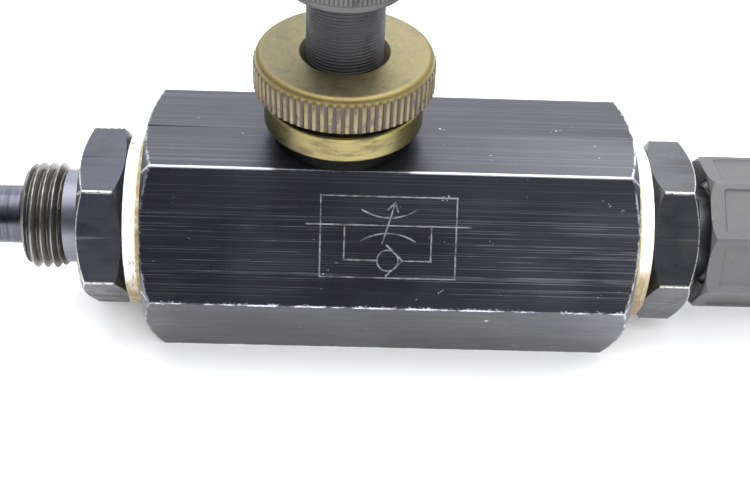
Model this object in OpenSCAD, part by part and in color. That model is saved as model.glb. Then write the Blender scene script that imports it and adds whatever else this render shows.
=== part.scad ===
// Throttle and check valve in a hexagonal bar body.
// Origin: centre of the bottom flat. X runs along the flow, Z along the spindle.

/* [Body] */
// Width of the hexagonal bar across its flats
body_af = 34; // [33:0.5:46]
// Length of the bar
body_len = 70.8; // [66:0.2:100]
// Radius of each port's thread
port_r = 10.48; // [9.5:0.02:11]
// Depth of each port
port_depth = 14; // [12:0.5:16]
// Chamfer angle turned on the ends of every hexagon
hex_chamfer_deg = 30; // [20:1:40]
// Width of the engraved symbol's frame
symbol_w = 19.2; // [18:0.2:24]
// Height of the engraved symbol's frame
symbol_h = 11.6; // [11:0.2:13]
// How far the symbol sits left of the body's middle
symbol_back = 0.25; // [0:0.05:2]
// Width of an engraved line
line_w = 0.24; // [0.15:0.01:0.4]
// Depth of an engraved line
line_deep = 0.15; // [0.1:0.01:0.3]

/* [Adapters] */
// Width of each adapter's hexagon across its flats
adapter_af = 24; // [22:0.5:27]
// Length of the hexagon
adapter_hex_len = 6.8; // [6:0.1:10]
// How far the stud reaches past the washer into the port
stud_len = 10; // [8:0.5:11]
// Radius of the flow bore
flow_r = 3.2; // [2:0.1:3.4]
// Outside radius of the spigot's thread
spigot_r = 8; // [7:0.1:9]
// Radius of the plain neck between the hexagon and the thread
neck_r = 7.1; // [6:0.1:7.6]
// Length of the neck
neck_len = 3.05; // [2.5:0.05:6]
// Length of the spigot's thread
spigot_len = 5.95; // [5:0.05:9]
// Chamfer on the spigot's thread
spigot_chamfer = 0.8; // [0.3:0.1:1.2]
// Depth of the hollow in the spigot's end
recess_depth = 1.2; // [0.4:0.1:2]
// How far the inlet hexagon is turned about the flow axis, in degrees
inlet_turn = 7.3; // [-30:0.1:30]
// How far the outlet hexagon is turned about the flow axis, in degrees
outlet_turn = -1.7; // [-30:0.1:30]
// Outside radius of the sealing washers
washer_r = 13.1; // [12.4:0.1:14]
// Thickness of the sealing washers
washer_h = 3; // [1.5:0.1:4]

/* [Nipples] */
// Outside radius of the hose nipples
nipple_r = 4.45; // [4:0.05:5]
// How far a nipple stands out of its spigot
nipple_out = 11.8; // [8:0.2:12.6]
// How deep a nipple is pressed into its adapter
nipple_in = 5.4; // [3:0.1:8]
// How much a nipple swells where it leaves the spigot
nipple_flare = 0.35; // [0.1:0.05:0.6]

/* [Union nut] */
// Width of the eight-sided nut across its flats
nut_af = 21.6; // [21.2:0.1:24]
// Outside radius that rounds the nut's corners
nut_r = 11.6; // [11.3:0.05:12.4]
// Length of the nut
nut_len = 21.2; // [21:0.2:26]
// Gap between the adapter's hexagon and the nut
nut_gap = 2.1; // [0.6:0.1:3]
// Radius of the hose hole
hose_r = 6.2; // [5.6:0.1:6.8]
// Length of the cone that leads down to the hose hole
nut_cone_len = 4; // [3:0.1:5]
// How far the nut is turned about the flow axis, in degrees
nut_turn = -10; // [-22:0.5:22]
// Depth of the grip panels
panel_depth = 0.35; // [0.2:0.05:0.6]
// Width of the grip panels
panel_w = 7; // [4:0.1:7.4]
// Wall of the clamp ring at its thick end
ring_wall = 1.8; // [1.2:0.1:1.9]
// Length of the clamp ring
ring_len = 4.6; // [4:0.1:5.2]

/* [Bonnet] */
// Radius of the brass flange
flange_r = 11.4; // [11:0.1:13.6]
// Thickness of the brass flange
flange_h = 4; // [3:0.1:5]
// Height of the spacer under the flange
spacer_h = 2.5; // [1.5:0.1:4]
// Outside radius of the spacer
spacer_r = 10; // [9.9:0.1:10.8]
// Radius of the bonnet's thread in the body
bonnet_r = 7.9; // [7.7:0.1:8.2]
// Depth of the bonnet below the top flat
bonnet_depth = 7.4; // [6.8:0.1:8]
// Height of the stem seal's groove
seal_h = 1.9; // [1.7:0.1:2.1]
// Width of the stem seal's groove
seal_w = 1.4; // [1.2:0.05:1.6]

/* [Spindle and knob] */
// Outside radius of the spindle's fine thread
spindle_r = 5.45; // [5.2:0.05:5.8]
// Lead of that thread for one turn
spindle_lead = 0.5; // [0.35:0.05:0.6]
// Turns from the stored position down to closed
turns_to_close = 6; // [4:1:6]
// Turns from the stored position up to fully open
turns_to_open = 2; // [1:1:2]
// Thread that shows between lock nut and knob
stem_show = 10.5; // [9:0.1:16]
// Radius of the knob
knob_r = 8.6; // [8:0.1:11]
// Height of the knob
knob_h = 20; // [15:0.5:26]
// Plain band at the knob's lower edge
knob_band = 0.9; // [0.6:0.1:2]
// Number of teeth in the knob's knurl
knob_teeth = 84; // [60:2:100]
// Radius of the shank inside the knob
shank_r = 4; // [3.4:0.1:4.6]
// Radius of the knob's set screw
screw_r = 1.5; // [1.2:0.1:2]
// Radius of the lock nut over its knurl
lock_r = 12.85; // [12:0.05:15]
// Height of the lock nut
lock_h = 5.7; // [4.5:0.1:6.5]
// Number of teeth in the lock nut's knurl
lock_teeth = 70; // [50:2:80]
// Bevel on the lock nut's upper rim
lock_bevel = 0.9; // [0.5:0.1:1.2]
// Radius of the countersink in the lock nut's top
lock_sink_r = 6.4; // [6.2:0.1:7]
// Height of the washer under the lock nut
lock_washer_h = 1.3; // [0.8:0.1:2]
// Radius of the washer under the lock nut
lock_washer_r = 9.4; // [8:0.1:10.5]

/* [Throttle] */
// Height of the throttle seat's top above the flow axis
seat_rise = 5.2; // [5.1:0.1:5.4]
// Thickness of the throttle seat
seat_h = 2.2; // [2.1:0.1:2.4]
// Outside radius of the throttle seat
seat_r = 4.5; // [4:0.1:4.8]
// Radius of the hole in the throttle seat
seat_hole_r = 1.6; // [1.2:0.05:1.8]
// Radius of the chamber over the seat
chamber_r = 5.5; // [5.2:0.1:6]
// Radius of the needle's shaft
needle_r = 4; // [3.7:0.05:4.1]
// Radius of the needle's blunt tip
needle_tip_r = 0.4; // [0.2:0.05:0.6]
// Length of the needle's fine taper
needle_taper = 2.3; // [2:0.1:2.3]
// Radius of the head that the spindle holds
head_r = 3.2; // [2.9:0.05:3.25]
// Height of that head
head_h = 1.2; // [1:0.1:1.5]
// Radius of the needle's neck in the clip
head_neck_r = 2.2; // [1.8:0.05:2.4]
// Radius of the drilling from the inlet port to the chamber
inlet_way_r = 2.1; // [1.6:0.05:2.2]
// Height of that drilling above the flow axis
inlet_way_rise = 7; // [6.6:0.1:7.1]
// Radius of the drilling from under the seat to the outlet port
outlet_way_r = 1.9; // [1.5:0.05:2]
// Height of that drilling above the flow axis
outlet_way_rise = 0.9; // [0.8:0.05:1]
// Distance of the spindle's axis left of the body's middle
spindle_back = 7; // [4:0.5:8]

/* [Check valve] */
// Depth of the check valve below the flow axis
check_drop = 5.7; // [5.5:0.05:5.9]
// Radius of the check valve's bore
check_r = 3.2; // [2.9:0.05:3.3]
// Radius of the ball
ball_r = 2.75; // [2.6:0.05:2.8]
// Radius of the hole that the ball closes
check_hole_r = 2; // [1.5:0.05:2.1]
// Length of the check seat
check_seat_len = 3; // [2:0.1:4]
// Place of the seat's edge along the flow axis, left of the body's middle
check_back = 1; // [-2:0.5:3]
// Travel of the ball
ball_travel = 1.8; // [1:0.1:2.4]
// Length of the fitted spring
spring_len = 9; // [7:0.5:11]
// Radius of the spring's wire
wire_r = 0.3; // [0.2:0.05:0.35]
// Turns in the spring
spring_turns = 6; // [4:1:8]
// Thickness of the spring's retainer
retainer_h = 2; // [1.4:0.1:2.6]
// Thickness of the retaining ring
circlip_h = 0.8; // [0.6:0.1:1]
// Depth of the retaining ring's groove
circlip_deep = 0.5; // [0.3:0.05:0.6]

/* [Clearances] */
// Radial clearance of a running fit
run_fit = 0.05; // [0.03:0.01:0.08]
// Radial clearance of a fixed fit
still_fit = 0.02; // [0.01:0.005:0.03]
// Clearance between parts that pass without touching
free_gap = 0.2; // [0.15:0.05:0.3]

/* [Hidden] */
$fn = 96;

// Heights, from the bottom flat up
axis_z = body_af / 2;
top_z = body_af;
bonnet_z = top_z - bonnet_depth;
flange_z = top_z + spacer_h;
brass_z = flange_z + flange_h;
lock_z = brass_z + lock_washer_h;
lock_top_z = lock_z + lock_h;
knob_z = lock_top_z + stem_show;
knob_top_z = knob_z + knob_h;
seat_z = axis_z + seat_rise;
spindle_x = -spindle_back;

// Places along the flow, from the middle out
port_x = body_len / 2;
port_end_x = port_x - port_depth;
hex_x = port_x + washer_h;
hex_end_x = hex_x + adapter_hex_len;
thread_x = hex_end_x + neck_len;
spigot_x = thread_x + spigot_len;
nipple_x = spigot_x - nipple_in;
nipple_end_x = spigot_x + nipple_out;
nut_x = hex_end_x + nut_gap;
nut_end_x = nut_x + nut_len;

// The stem: lift, seal and swivel
close_travel = turns_to_close * spindle_lead;
open_travel = turns_to_open * spindle_lead;
gland_r = needle_r + run_fit;
gland_low_h = 1;
gland_high_h = 0.6;
seal_z = bonnet_z + gland_low_h;
gland_z = seal_z + seal_h + gland_high_h;
spindle_z = gland_z + close_travel + free_gap;
shaft_low_z = bonnet_z - 0.3;
shaft_top_z = spindle_z - free_gap;
clip_h = 0.8;
clip_z = spindle_z + 0.7;
head_z = clip_z + clip_h + run_fit;
pocket_top_z = head_z + head_h + run_fit;
clip_deep = 0.6;
contact_z = seat_z + close_travel;

// The bonnet's seal and the knob's hold on the spindle
oring_room = 1.5;
screw_z = knob_z + 7;
screw_reach = 0.9;
shank_short = 4;
bore_short = 3.5;

// The adapter's washer side starts its chamfer inside the flats
adapter_low_in = 0.55;

// The union nut's inside and the clamp ring
nut_bore_r = spigot_r + run_fit;
ring_x = spigot_x + free_gap;
ring_r = hose_r - 0.1;
ring_shoulder = 1.3;
cone_x = ring_x + ring_shoulder;
ring_thick_r = ring_r + ring_wall;
slope = (nut_bore_r - hose_r) / nut_cone_len;

// The check valve
ball_back = sqrt(ball_r * ball_r - check_hole_r * check_hole_r);
seat_edge_x = -check_back;
ball_x = seat_edge_x - ball_back - still_fit;
coil_r = check_r - wire_r - 0.4;
spring_end_x = ball_x - sqrt(ball_r * ball_r - coil_r * coil_r) - wire_r - 0.1;
retainer_x = spring_end_x - spring_len;
circlip_x = retainer_x - retainer_h;
check_z = axis_z - check_drop;

function hex_corner(af) = af / 2 / cos(30);
function chamfer_run(af, start_r) = (hex_corner(af) + 1 - start_r) * tan(hex_chamfer_deg);

// A ring of teeth: each has a crest and a root point on either side
function knurl(teeth, r, deep) = [
    for (i = [0:teeth - 1], s = [[0, 0], [0.3, 0], [0.55, deep], [0.75, deep]])
        let (a = 360 * (i + s[0]) / teeth)
            [(r - s[1]) * cos(a), (r - s[1]) * sin(a)]
];

// Turned about the flow axis, from points [radius, x]
module turned_x(points) {
    translate([0, 0, axis_z]) rotate([0, 90, 0]) rotate_extrude() polygon(points);
}

// Turned about the spindle's axis, from points [radius, z]
module turned_z(points) {
    translate([spindle_x, 0, 0]) rotate_extrude() polygon(points);
}

// A straight round cut along X, at a height above the flow axis
module way_x(r, x0, x1, rise) {
    translate([x0, 0, axis_z + rise]) rotate([0, 90, 0]) cylinder(h = x1 - x0, r = r);
}

// A straight round cut along the spindle
module way_z(r, z0, z1) {
    translate([spindle_x, 0, z0]) cylinder(h = z1 - z0, r = r);
}

// A hexagonal bar along X with turned chamfers; low_r and high_r are where they start
module hex_bar(af, x0, x1, low_r, high_r, turn) {
    over = hex_corner(af) + 1;
    intersection() {
        translate([x0, 0, axis_z]) rotate([turn, 0, 0]) rotate([90, 0, 90])
            cylinder(h = x1 - x0, r = hex_corner(af), $fn = 6);
        turned_x([
            [0, x0], [low_r, x0], [over, x0 + chamfer_run(af, low_r)],
            [over, x1 - chamfer_run(af, high_r)], [high_r, x1], [0, x1]
        ]);
    }
}

// An engraved straight line between two points
module line(from, to) {
    d = to - from;
    translate(from) rotate(atan2(d[1], d[0])) translate([0, -line_w / 2])
        square([norm(d), line_w]);
}

// An engraved shallow arc whose middle is at height y; bend is 1 for a cup and -1 for a cap
module throat(y, bend) {
    arc_r = 7;
    half_w = 3.75;
    intersection() {
        translate([0, y + bend * arc_r]) difference() {
            circle(r = arc_r + line_w / 2);
            circle(r = arc_r - line_w / 2);
        }
        translate([-half_w, y - 1.3]) square([2 * half_w, 2.6]);
    }
}

// Circuit symbol: a throttle with an arrow over a check valve, in a frame
module symbol() {
    flow_y = 2.2;
    check_y = -2.8;
    left = -6.2;
    right = 6.1;
    ball = 1.5;
    frame_low = 0.5 - symbol_h / 2;
    frame_high = 0.5 + symbol_h / 2;
    for (y = [frame_low, frame_high]) line([-symbol_w / 2, y], [symbol_w / 2, y]);
    for (x = [-symbol_w / 2, symbol_w / 2]) line([x, frame_low], [x, frame_high]);
    line([-symbol_w / 2 - 2, flow_y], [symbol_w / 2 + 2, flow_y]);
    throat(3.3, 1);
    throat(1.1, -1);
    line([-0.8, -0.3], [0.9, 5.5]);
    line([0.9, 5.5], [-0.1, 4.5]);
    line([0.9, 5.5], [1.3, 4.2]);
    for (x = [left, right]) line([x, flow_y], [x, check_y]);
    line([left, check_y], [-ball, check_y]);
    line([ball + 0.6, check_y], [right, check_y]);
    for (side = [-1, 1]) line([ball + 0.6, check_y], [-0.2, check_y + side * 2.2]);
    translate([0, check_y]) difference() {
        circle(r = ball + line_w / 2);
        circle(r = ball - line_w / 2);
    }
}

module body() {
    mouth = 0.5;
    color("#26262b") difference() {
        hex_bar(body_af, -port_x, port_x, body_af / 2, body_af / 2, 0);
        translate([-symbol_back, 0, axis_z]) rotate([60, 0, 0])
            translate([0, 0, body_af / 2 - line_deep]) linear_extrude(1) symbol();
        for (side = [0, 1]) mirror([side, 0, 0]) turned_x([
            [0, port_end_x], [port_r, port_end_x], [port_r, port_x - mouth],
            [port_r + 2 * mouth, port_x + mouth], [0, port_x + mouth]
        ]);
        way_z(bonnet_r + still_fit, bonnet_z, top_z + 1);
        way_z(bonnet_r + oring_room, top_z - oring_room, top_z + 1);
        way_z(chamber_r, seat_z, bonnet_z + 0.1);
        way_z(seat_r + still_fit, seat_z - seat_h, seat_z + 0.1);
        way_z(seat_hole_r + 0.4, axis_z + outlet_way_rise, seat_z);
        way_x(inlet_way_r, -port_end_x - 1, spindle_x - chamber_r + 1, inlet_way_rise);
        way_x(outlet_way_r, spindle_x, port_end_x + 1, outlet_way_rise);
        way_x(check_r, -port_end_x - 1, seat_edge_x + check_seat_len, -check_drop);
        way_x(check_hole_r, seat_edge_x, port_end_x + 1, -check_drop);
        way_x(check_r + circlip_deep, circlip_x - circlip_h - run_fit, circlip_x, -check_drop);
    }
}

// Stud, hexagon, neck and threaded spigot in one turned piece, for the +X end
module adapter(turn) {
    stud_r = port_r - run_fit;
    lead = 1;
    color("#2b2b2f") difference() {
        union() {
            hex_bar(adapter_af, hex_x, hex_end_x, adapter_af / 2 - adapter_low_in,
                adapter_af / 2, turn);
            turned_x([
                [0, port_x - stud_len], [stud_r - lead, port_x - stud_len],
                [stud_r, port_x - stud_len + lead], [stud_r, hex_x + 0.5], [0, hex_x + 0.5]
            ]);
            turned_x([
                [0, hex_end_x - 0.5], [neck_r, hex_end_x - 0.5], [neck_r, thread_x],
                [spigot_r, thread_x + spigot_chamfer], [spigot_r, spigot_x - spigot_chamfer],
                [spigot_r - spigot_chamfer, spigot_x], [0, spigot_x]
            ]);
        }
        way_x(flow_r, port_x - stud_len - 1, spigot_x, 0);
        way_x(nipple_r + still_fit, nipple_x, spigot_x + 1, 0);
        turned_x([
            [0, spigot_x - recess_depth], [nipple_r + nipple_flare + 0.3, spigot_x - recess_depth],
            [spigot_r - spigot_chamfer - 0.5, spigot_x + 0.01], [0, spigot_x + 0.01]
        ]);
    }
}

module inlet_adapter() { mirror([1, 0, 0]) adapter(inlet_turn); }
module outlet_adapter() { adapter(outlet_turn); }

module washer() {
    edge = 0.3;
    inner = port_r + 0.12;
    color("#f4f2ec") turned_x([
        [inner, port_x], [washer_r - edge, port_x], [washer_r, port_x + edge],
        [washer_r, hex_x - edge], [washer_r - edge, hex_x], [inner, hex_x]
    ]);
}

module inlet_washer() { mirror([1, 0, 0]) washer(); }
module outlet_washer() { washer(); }

// A hose tail, pressed into the spigot
module nipple() {
    tip = 0.7;
    swell_x = spigot_x - recess_depth;
    color("#3f4147") turned_x([
        [flow_r - 0.3, nipple_x], [nipple_r, nipple_x], [nipple_r, swell_x],
        [nipple_r + nipple_flare, swell_x], [nipple_r + nipple_flare, spigot_x - 0.2],
        [nipple_r, spigot_x + 0.9], [nipple_r, nipple_end_x - tip],
        [nipple_r - tip, nipple_end_x], [flow_r - 0.3, nipple_end_x]
    ]);
}

module inlet_nipple() { mirror([1, 0, 0]) nipple(); }
module outlet_nipple() { nipple(); }

module union_nut() {
    rim = 0.6;
    end_rim = 1.1;
    mouth_r = nut_r - 1.2;
    mouth_deep = 1.8;
    panel_x = nut_x + 2;
    panel_end_x = nut_end_x - 2.3;
    color("#4c4d50") difference() {
        intersection() {
            translate([nut_x, 0, axis_z]) rotate([nut_turn, 0, 0]) rotate([90, 0, 90])
                rotate([0, 0, 22.5]) cylinder(h = nut_len, r = nut_af / 2 / cos(22.5), $fn = 8);
            turned_x([
                [0, nut_x], [nut_r - rim, nut_x], [nut_r, nut_x + rim],
                [nut_r, nut_end_x - end_rim], [nut_r - end_rim, nut_end_x], [0, nut_end_x]
            ]);
        }
        turned_x([
            [0, nut_x - 1], [mouth_r, nut_x - 1], [mouth_r, nut_x],
            [nut_bore_r, nut_x + mouth_deep],
            [nut_bore_r, cone_x], [hose_r, cone_x + nut_cone_len],
            [hose_r, nut_end_x - 0.5], [hose_r + 1, nut_end_x + 0.5], [0, nut_end_x + 0.5]
        ]);
        for (i = [0:7]) translate([panel_x, 0, axis_z]) rotate([nut_turn + 45 * i, 0, 0])
            translate([0, -panel_w / 2, nut_af / 2 - panel_depth])
                cube([panel_end_x - panel_x, panel_w, 2]);
    }
}

module clamp_ring() {
    lean = (ring_len - ring_shoulder) * slope;
    color("#8d8f94") turned_x([
        [ring_r, ring_x], [ring_thick_r, ring_x], [ring_thick_r, cone_x],
        [max(ring_r + 0.15, ring_thick_r - lean), ring_x + ring_len], [ring_r, ring_x + ring_len]
    ]);
}

module bonnet() {
    thread_r = spindle_r + run_fit;
    edge = 0.4;
    color("#b8a13e") turned_z([
        [gland_r, bonnet_z], [bonnet_r - 0.6, bonnet_z], [bonnet_r, bonnet_z + 0.6],
        [bonnet_r, flange_z], [flange_r - edge, flange_z], [flange_r, flange_z + edge],
        [flange_r, brass_z - edge], [flange_r - edge, brass_z], [thread_r, brass_z],
        [thread_r, gland_z], [gland_r, gland_z], [gland_r, seal_z + seal_h],
        [gland_r + seal_w, seal_z + seal_h], [gland_r + seal_w, seal_z], [gland_r, seal_z]
    ]);
}

module bonnet_spacer() {
    color("#18181a") turned_z([
        [bonnet_r + run_fit, top_z], [spacer_r, top_z],
        [spacer_r, flange_z], [bonnet_r + run_fit, flange_z]
    ]);
}

// A rubber ring about the spindle's axis, between two radii
module oring(inner, outer, z) {
    thick = (outer - inner) / 2;
    color("#141414") translate([spindle_x, 0, z]) rotate_extrude()
        translate([inner + thick, 0]) circle(r = thick, $fn = 32);
}

module bonnet_oring() {
    oring(bonnet_r + still_fit, bonnet_r + oring_room - still_fit, top_z - oring_room / 2);
}

module needle_oring() {
    oring(gland_r + still_fit, gland_r + seal_w - still_fit, seal_z + seal_w / 2);
}

module backup_ring() {
    low = seal_z + seal_w;
    high = seal_z + seal_h - still_fit;
    color("#efeee8") turned_z([
        [gland_r, low], [gland_r + seal_w - still_fit, low],
        [gland_r + seal_w - still_fit, high], [gland_r, high]
    ]);
}

module spindle() {
    lead = 0.6;
    pocket_r = head_r + run_fit;
    clip_r = pocket_r + clip_deep;
    shank_top_z = knob_top_z - shank_short;
    color("#333335") turned_z([
        [pocket_r, spindle_z], [spindle_r - lead, spindle_z], [spindle_r, spindle_z + lead],
        [spindle_r, knob_z], [shank_r, knob_z], [shank_r, shank_top_z - lead],
        [shank_r - lead, shank_top_z], [0, shank_top_z], [0, pocket_top_z],
        [pocket_r, pocket_top_z], [pocket_r, clip_z + clip_h], [clip_r, clip_z + clip_h],
        [clip_r, clip_z], [pocket_r, clip_z]
    ]);
}

// Internal snap ring, open for a slot on its far side
module swivel_clip() {
    clip_r = head_r + run_fit + clip_deep - still_fit;
    slot = 1.6;
    color("#6f7073") difference() {
        way_z(clip_r, clip_z + still_fit, clip_z + clip_h - still_fit);
        way_z(head_neck_r + free_gap, clip_z - 1, clip_z + clip_h + 1);
        translate([spindle_x - slot / 2, 0, clip_z - 1]) cube([slot, clip_r + 1, clip_h + 2]);
    }
}

module needle() {
    color("#b9bcc0") turned_z([
        [0, contact_z - needle_taper], [needle_tip_r, contact_z - needle_taper],
        [seat_hole_r - run_fit, contact_z], [seat_hole_r + 0.3, contact_z + 0.3],
        [seat_hole_r + 0.3, shaft_low_z], [needle_r - 0.4, shaft_low_z],
        [needle_r, shaft_low_z + 0.4], [needle_r, shaft_top_z], [head_neck_r, shaft_top_z],
        [head_neck_r, head_z], [head_r, head_z], [head_r, head_z + head_h], [0, head_z + head_h]
    ]);
}

module lock_nut() {
    knurl_deep = 0.35;
    thread_r = spindle_r + run_fit;
    color("#a08a4a") intersection() {
        translate([spindle_x, 0, lock_z]) linear_extrude(lock_h)
            polygon(knurl(lock_teeth, lock_r, knurl_deep));
        turned_z([
            [thread_r, lock_z], [lock_r - 0.5, lock_z], [lock_r + 0.1, lock_z + 0.6],
            [lock_r + 0.1, lock_top_z - lock_bevel], [lock_r - lock_bevel, lock_top_z],
            [lock_sink_r, lock_top_z], [thread_r, lock_top_z - (lock_sink_r - thread_r)]
        ]);
    }
}

module lock_washer() {
    color("#1d1d1f") turned_z([
        [spindle_r + free_gap, brass_z], [lock_washer_r, brass_z],
        [lock_washer_r, lock_z], [spindle_r + free_gap, lock_z]
    ]);
}

module knob() {
    knurl_deep = 0.2;
    edge = 0.8;
    bore_r = shank_r + still_fit;
    bore_top_z = knob_top_z - bore_short;
    grip_h = knob_h - knob_band;
    grip_top_r = knob_r - edge;
    color("#6f6f70") difference() {
        union() {
            translate([spindle_x, 0, knob_z + knob_band]) intersection() {
                linear_extrude(grip_h) polygon(knurl(knob_teeth, knob_r, knurl_deep));
                cylinder(h = grip_h, r1 = grip_top_r + grip_h, r2 = grip_top_r);
            }
            way_z(knob_r - knurl_deep, knob_z, knob_z + knob_band + 0.1);
        }
        way_z(bore_r, knob_z - 1, bore_top_z);
        translate([spindle_x, 0, screw_z]) rotate([-90, 0, 0])
            cylinder(h = knob_r + 1, r = screw_r + still_fit);
    }
}

// Set screw with a hexagonal socket, in from the back of the knob
module knob_screw() {
    socket = 0.9;
    screw_len = knob_r - shank_r - screw_reach;
    color("#2a2a2c") translate([spindle_x, shank_r + still_fit, screw_z]) rotate([-90, 0, 0])
        difference() {
            cylinder(h = screw_len, r = screw_r);
            translate([0, 0, screw_len - 1.4]) cylinder(h = 2, r = socket, $fn = 6);
        }
}

module throttle_seat() {
    color("#c9b458") turned_z([
        [seat_hole_r, seat_z - seat_h], [seat_r, seat_z - seat_h],
        [seat_r, seat_z], [seat_hole_r, seat_z]
    ]);
}

// Turned about the check valve's own axis, from points [radius, x]
module turned_check(points) {
    translate([0, 0, check_z]) rotate([0, 90, 0]) rotate_extrude() polygon(points);
}

module check_seat() {
    outer = check_r - still_fit;
    color("#c9b458") turned_check([
        [check_hole_r, seat_edge_x], [outer, seat_edge_x],
        [outer, seat_edge_x + check_seat_len], [check_hole_r, seat_edge_x + check_seat_len]
    ]);
}

module check_ball() {
    color("#c8cbd0") translate([ball_x, 0, check_z]) sphere(r = ball_r);
}

// One closed tube swept along the coil; the two ends are capped
module check_spring() {
    steps = 20;
    sides = 8;
    rings = spring_turns * steps;
    pitch = (spring_len - 2 * wire_r - 0.1) / spring_turns;
    start_x = retainer_x + wire_r + 0.05;
    points = [
        for (i = [0:rings], k = [0:sides - 1])
            let (a = 360 * i / steps, b = 360 * k / sides, r = coil_r + wire_r * cos(b))
                [start_x + pitch * i / steps + wire_r * sin(b), r * cos(a), check_z + r * sin(a)]
    ];
    walls = [
        for (i = [0:rings - 1], k = [0:sides - 1])
            let (n = (k + 1) % sides)
                [i * sides + k, i * sides + n, (i + 1) * sides + n, (i + 1) * sides + k]
    ];
    low_cap = [for (k = [sides - 1:-1:0]) k];
    high_cap = [for (k = [0:sides - 1]) rings * sides + k];
    color("#9a9da2") polyhedron(points, concat(walls, [low_cap, high_cap]));
}

// A disc with a middle hole, which the spring pushes on
module spring_retainer() {
    outer = check_r - still_fit;
    color("#c9b458") turned_check([
        [check_hole_r - 0.5, retainer_x - retainer_h], [outer, retainer_x - retainer_h],
        [outer, retainer_x], [check_hole_r - 0.5, retainer_x]
    ]);
}

module retaining_ring() {
    outer = check_r + circlip_deep - still_fit;
    inner = check_r - 0.9;
    slot = 1.8;
    color("#6f7073") difference() {
        turned_check([
            [inner, circlip_x - circlip_h], [outer, circlip_x - circlip_h],
            [outer, circlip_x], [inner, circlip_x]
        ]);
        translate([circlip_x - circlip_h - 1, -slot / 2, check_z])
            cube([circlip_h + 2, slot, outer + 1]);
    }
}

body();
inlet_adapter();
outlet_adapter();
inlet_washer();
outlet_washer();
inlet_nipple();
outlet_nipple();
union_nut();
clamp_ring();
bonnet();
bonnet_spacer();
bonnet_oring();
needle_oring();
backup_ring();
spindle();
swivel_clip();
needle();
lock_nut();
lock_washer();
knob();
knob_screw();
throttle_seat();
check_seat();
check_ball();
check_spring();
spring_retainer();
retaining_ring();
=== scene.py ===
import math
import random
import bmesh
import bpy
from mathutils import Matrix, Vector


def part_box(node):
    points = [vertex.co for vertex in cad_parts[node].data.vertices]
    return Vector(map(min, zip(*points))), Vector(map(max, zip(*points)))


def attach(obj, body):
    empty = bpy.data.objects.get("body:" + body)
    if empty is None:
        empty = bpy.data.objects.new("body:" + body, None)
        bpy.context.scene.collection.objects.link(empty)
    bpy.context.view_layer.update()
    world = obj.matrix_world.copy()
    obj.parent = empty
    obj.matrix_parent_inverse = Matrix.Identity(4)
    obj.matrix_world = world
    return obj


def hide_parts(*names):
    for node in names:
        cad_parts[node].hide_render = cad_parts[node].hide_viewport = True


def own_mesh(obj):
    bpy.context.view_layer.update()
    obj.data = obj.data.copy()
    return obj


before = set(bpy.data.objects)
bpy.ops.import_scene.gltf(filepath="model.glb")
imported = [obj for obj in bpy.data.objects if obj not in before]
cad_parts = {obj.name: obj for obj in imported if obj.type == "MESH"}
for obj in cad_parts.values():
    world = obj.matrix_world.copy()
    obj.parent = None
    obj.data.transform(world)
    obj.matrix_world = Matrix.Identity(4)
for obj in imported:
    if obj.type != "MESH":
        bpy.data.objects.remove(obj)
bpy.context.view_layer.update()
random.seed(7)
mm = 0.001

# Places taken from the fixed frame
bodyLow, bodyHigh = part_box("body")
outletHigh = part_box("outlet_adapter")[1]
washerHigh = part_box("outlet_washer")[1]
nutLow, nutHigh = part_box("union_nut")
lockLow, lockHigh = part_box("lock_nut")
knobLow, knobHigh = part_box("knob")
spindleLow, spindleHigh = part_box("spindle")
axisZ = (bodyLow.z + bodyHigh.z) / 2 / mm
spindleX = (spindleLow.x + spindleHigh.x) / 2 / mm
halfBody = bodyHigh.x / mm
hexStart = washerHigh.x / mm
hexLength = 6.8
hexEnd = hexStart + hexLength
spigotEnd = outletHigh.x / mm
print("frame loaded, flow axis at", round(axisZ, 3), "mm")


# Camera
cameraSizes = {"elevation": 39.532, "swing": 1.741, "roll": 2.564, "distance": 209.038, "lens": 64.29}
aim = Vector((-1.595, 0, axisZ - 5.349)) * mm
elevation = math.radians(cameraSizes["elevation"])
swing = math.radians(cameraSizes["swing"])
roll = math.radians(cameraSizes["roll"])
ahead = Vector((math.sin(swing) * math.cos(elevation), math.cos(swing) * math.cos(elevation),
                -math.sin(elevation)))
side = ahead.cross(Vector((0, 0, 1))).normalized()
above = side.cross(ahead)
sideRolled = math.cos(roll) * side + math.sin(roll) * above
aboveRolled = math.cos(roll) * above - math.sin(roll) * side
cameraData = bpy.data.cameras.new("studioCamera")
cameraData.lens = cameraSizes["lens"]
cameraData.sensor_width = 36
cameraData.clip_start = 0.01
camera = bpy.data.objects.new("studioCamera", cameraData)
bpy.context.scene.collection.objects.link(camera)
turn = Matrix((sideRolled, aboveRolled, -ahead)).transposed().to_4x4()
camera.matrix_world = Matrix.Translation(aim - ahead * cameraSizes["distance"] * mm) @ turn
bpy.context.scene.camera = camera
bpy.context.scene.view_settings.view_transform = "Standard"
print("camera set")


# Nodes and colours
def linear(code, alpha=1):
    values = [int(code[i:i + 2], 16) / 255 for i in (1, 3, 5)]
    return [v / 12.92 if v <= 0.04045 else ((v + 0.055) / 1.055) ** 2.4 for v in values] + [alpha]


def addNode(tree, kind, inputs=None, **settings):
    node = tree.nodes.new(kind if "Node" in kind else "ShaderNode" + kind)
    for name, value in settings.items():
        setattr(node, name, value)
    for key, value in (inputs or {}).items():
        if isinstance(value, bpy.types.Node):
            value = next(o for o in value.outputs if o.enabled)
        if isinstance(value, bpy.types.NodeSocket):
            tree.links.new(value, node.inputs[key])
        else:
            node.inputs[key].default_value = value
    return node


def newMaterial(name, **values):
    material = bpy.data.materials.new(name)
    material.use_nodes = True
    tree = material.node_tree
    shader = tree.nodes["Principled BSDF"]
    for key, value in values.items():
        shader.inputs[key].default_value = value
    place = addNode(tree, "TexCoord").outputs["Object"]
    return material, tree, shader, place


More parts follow.
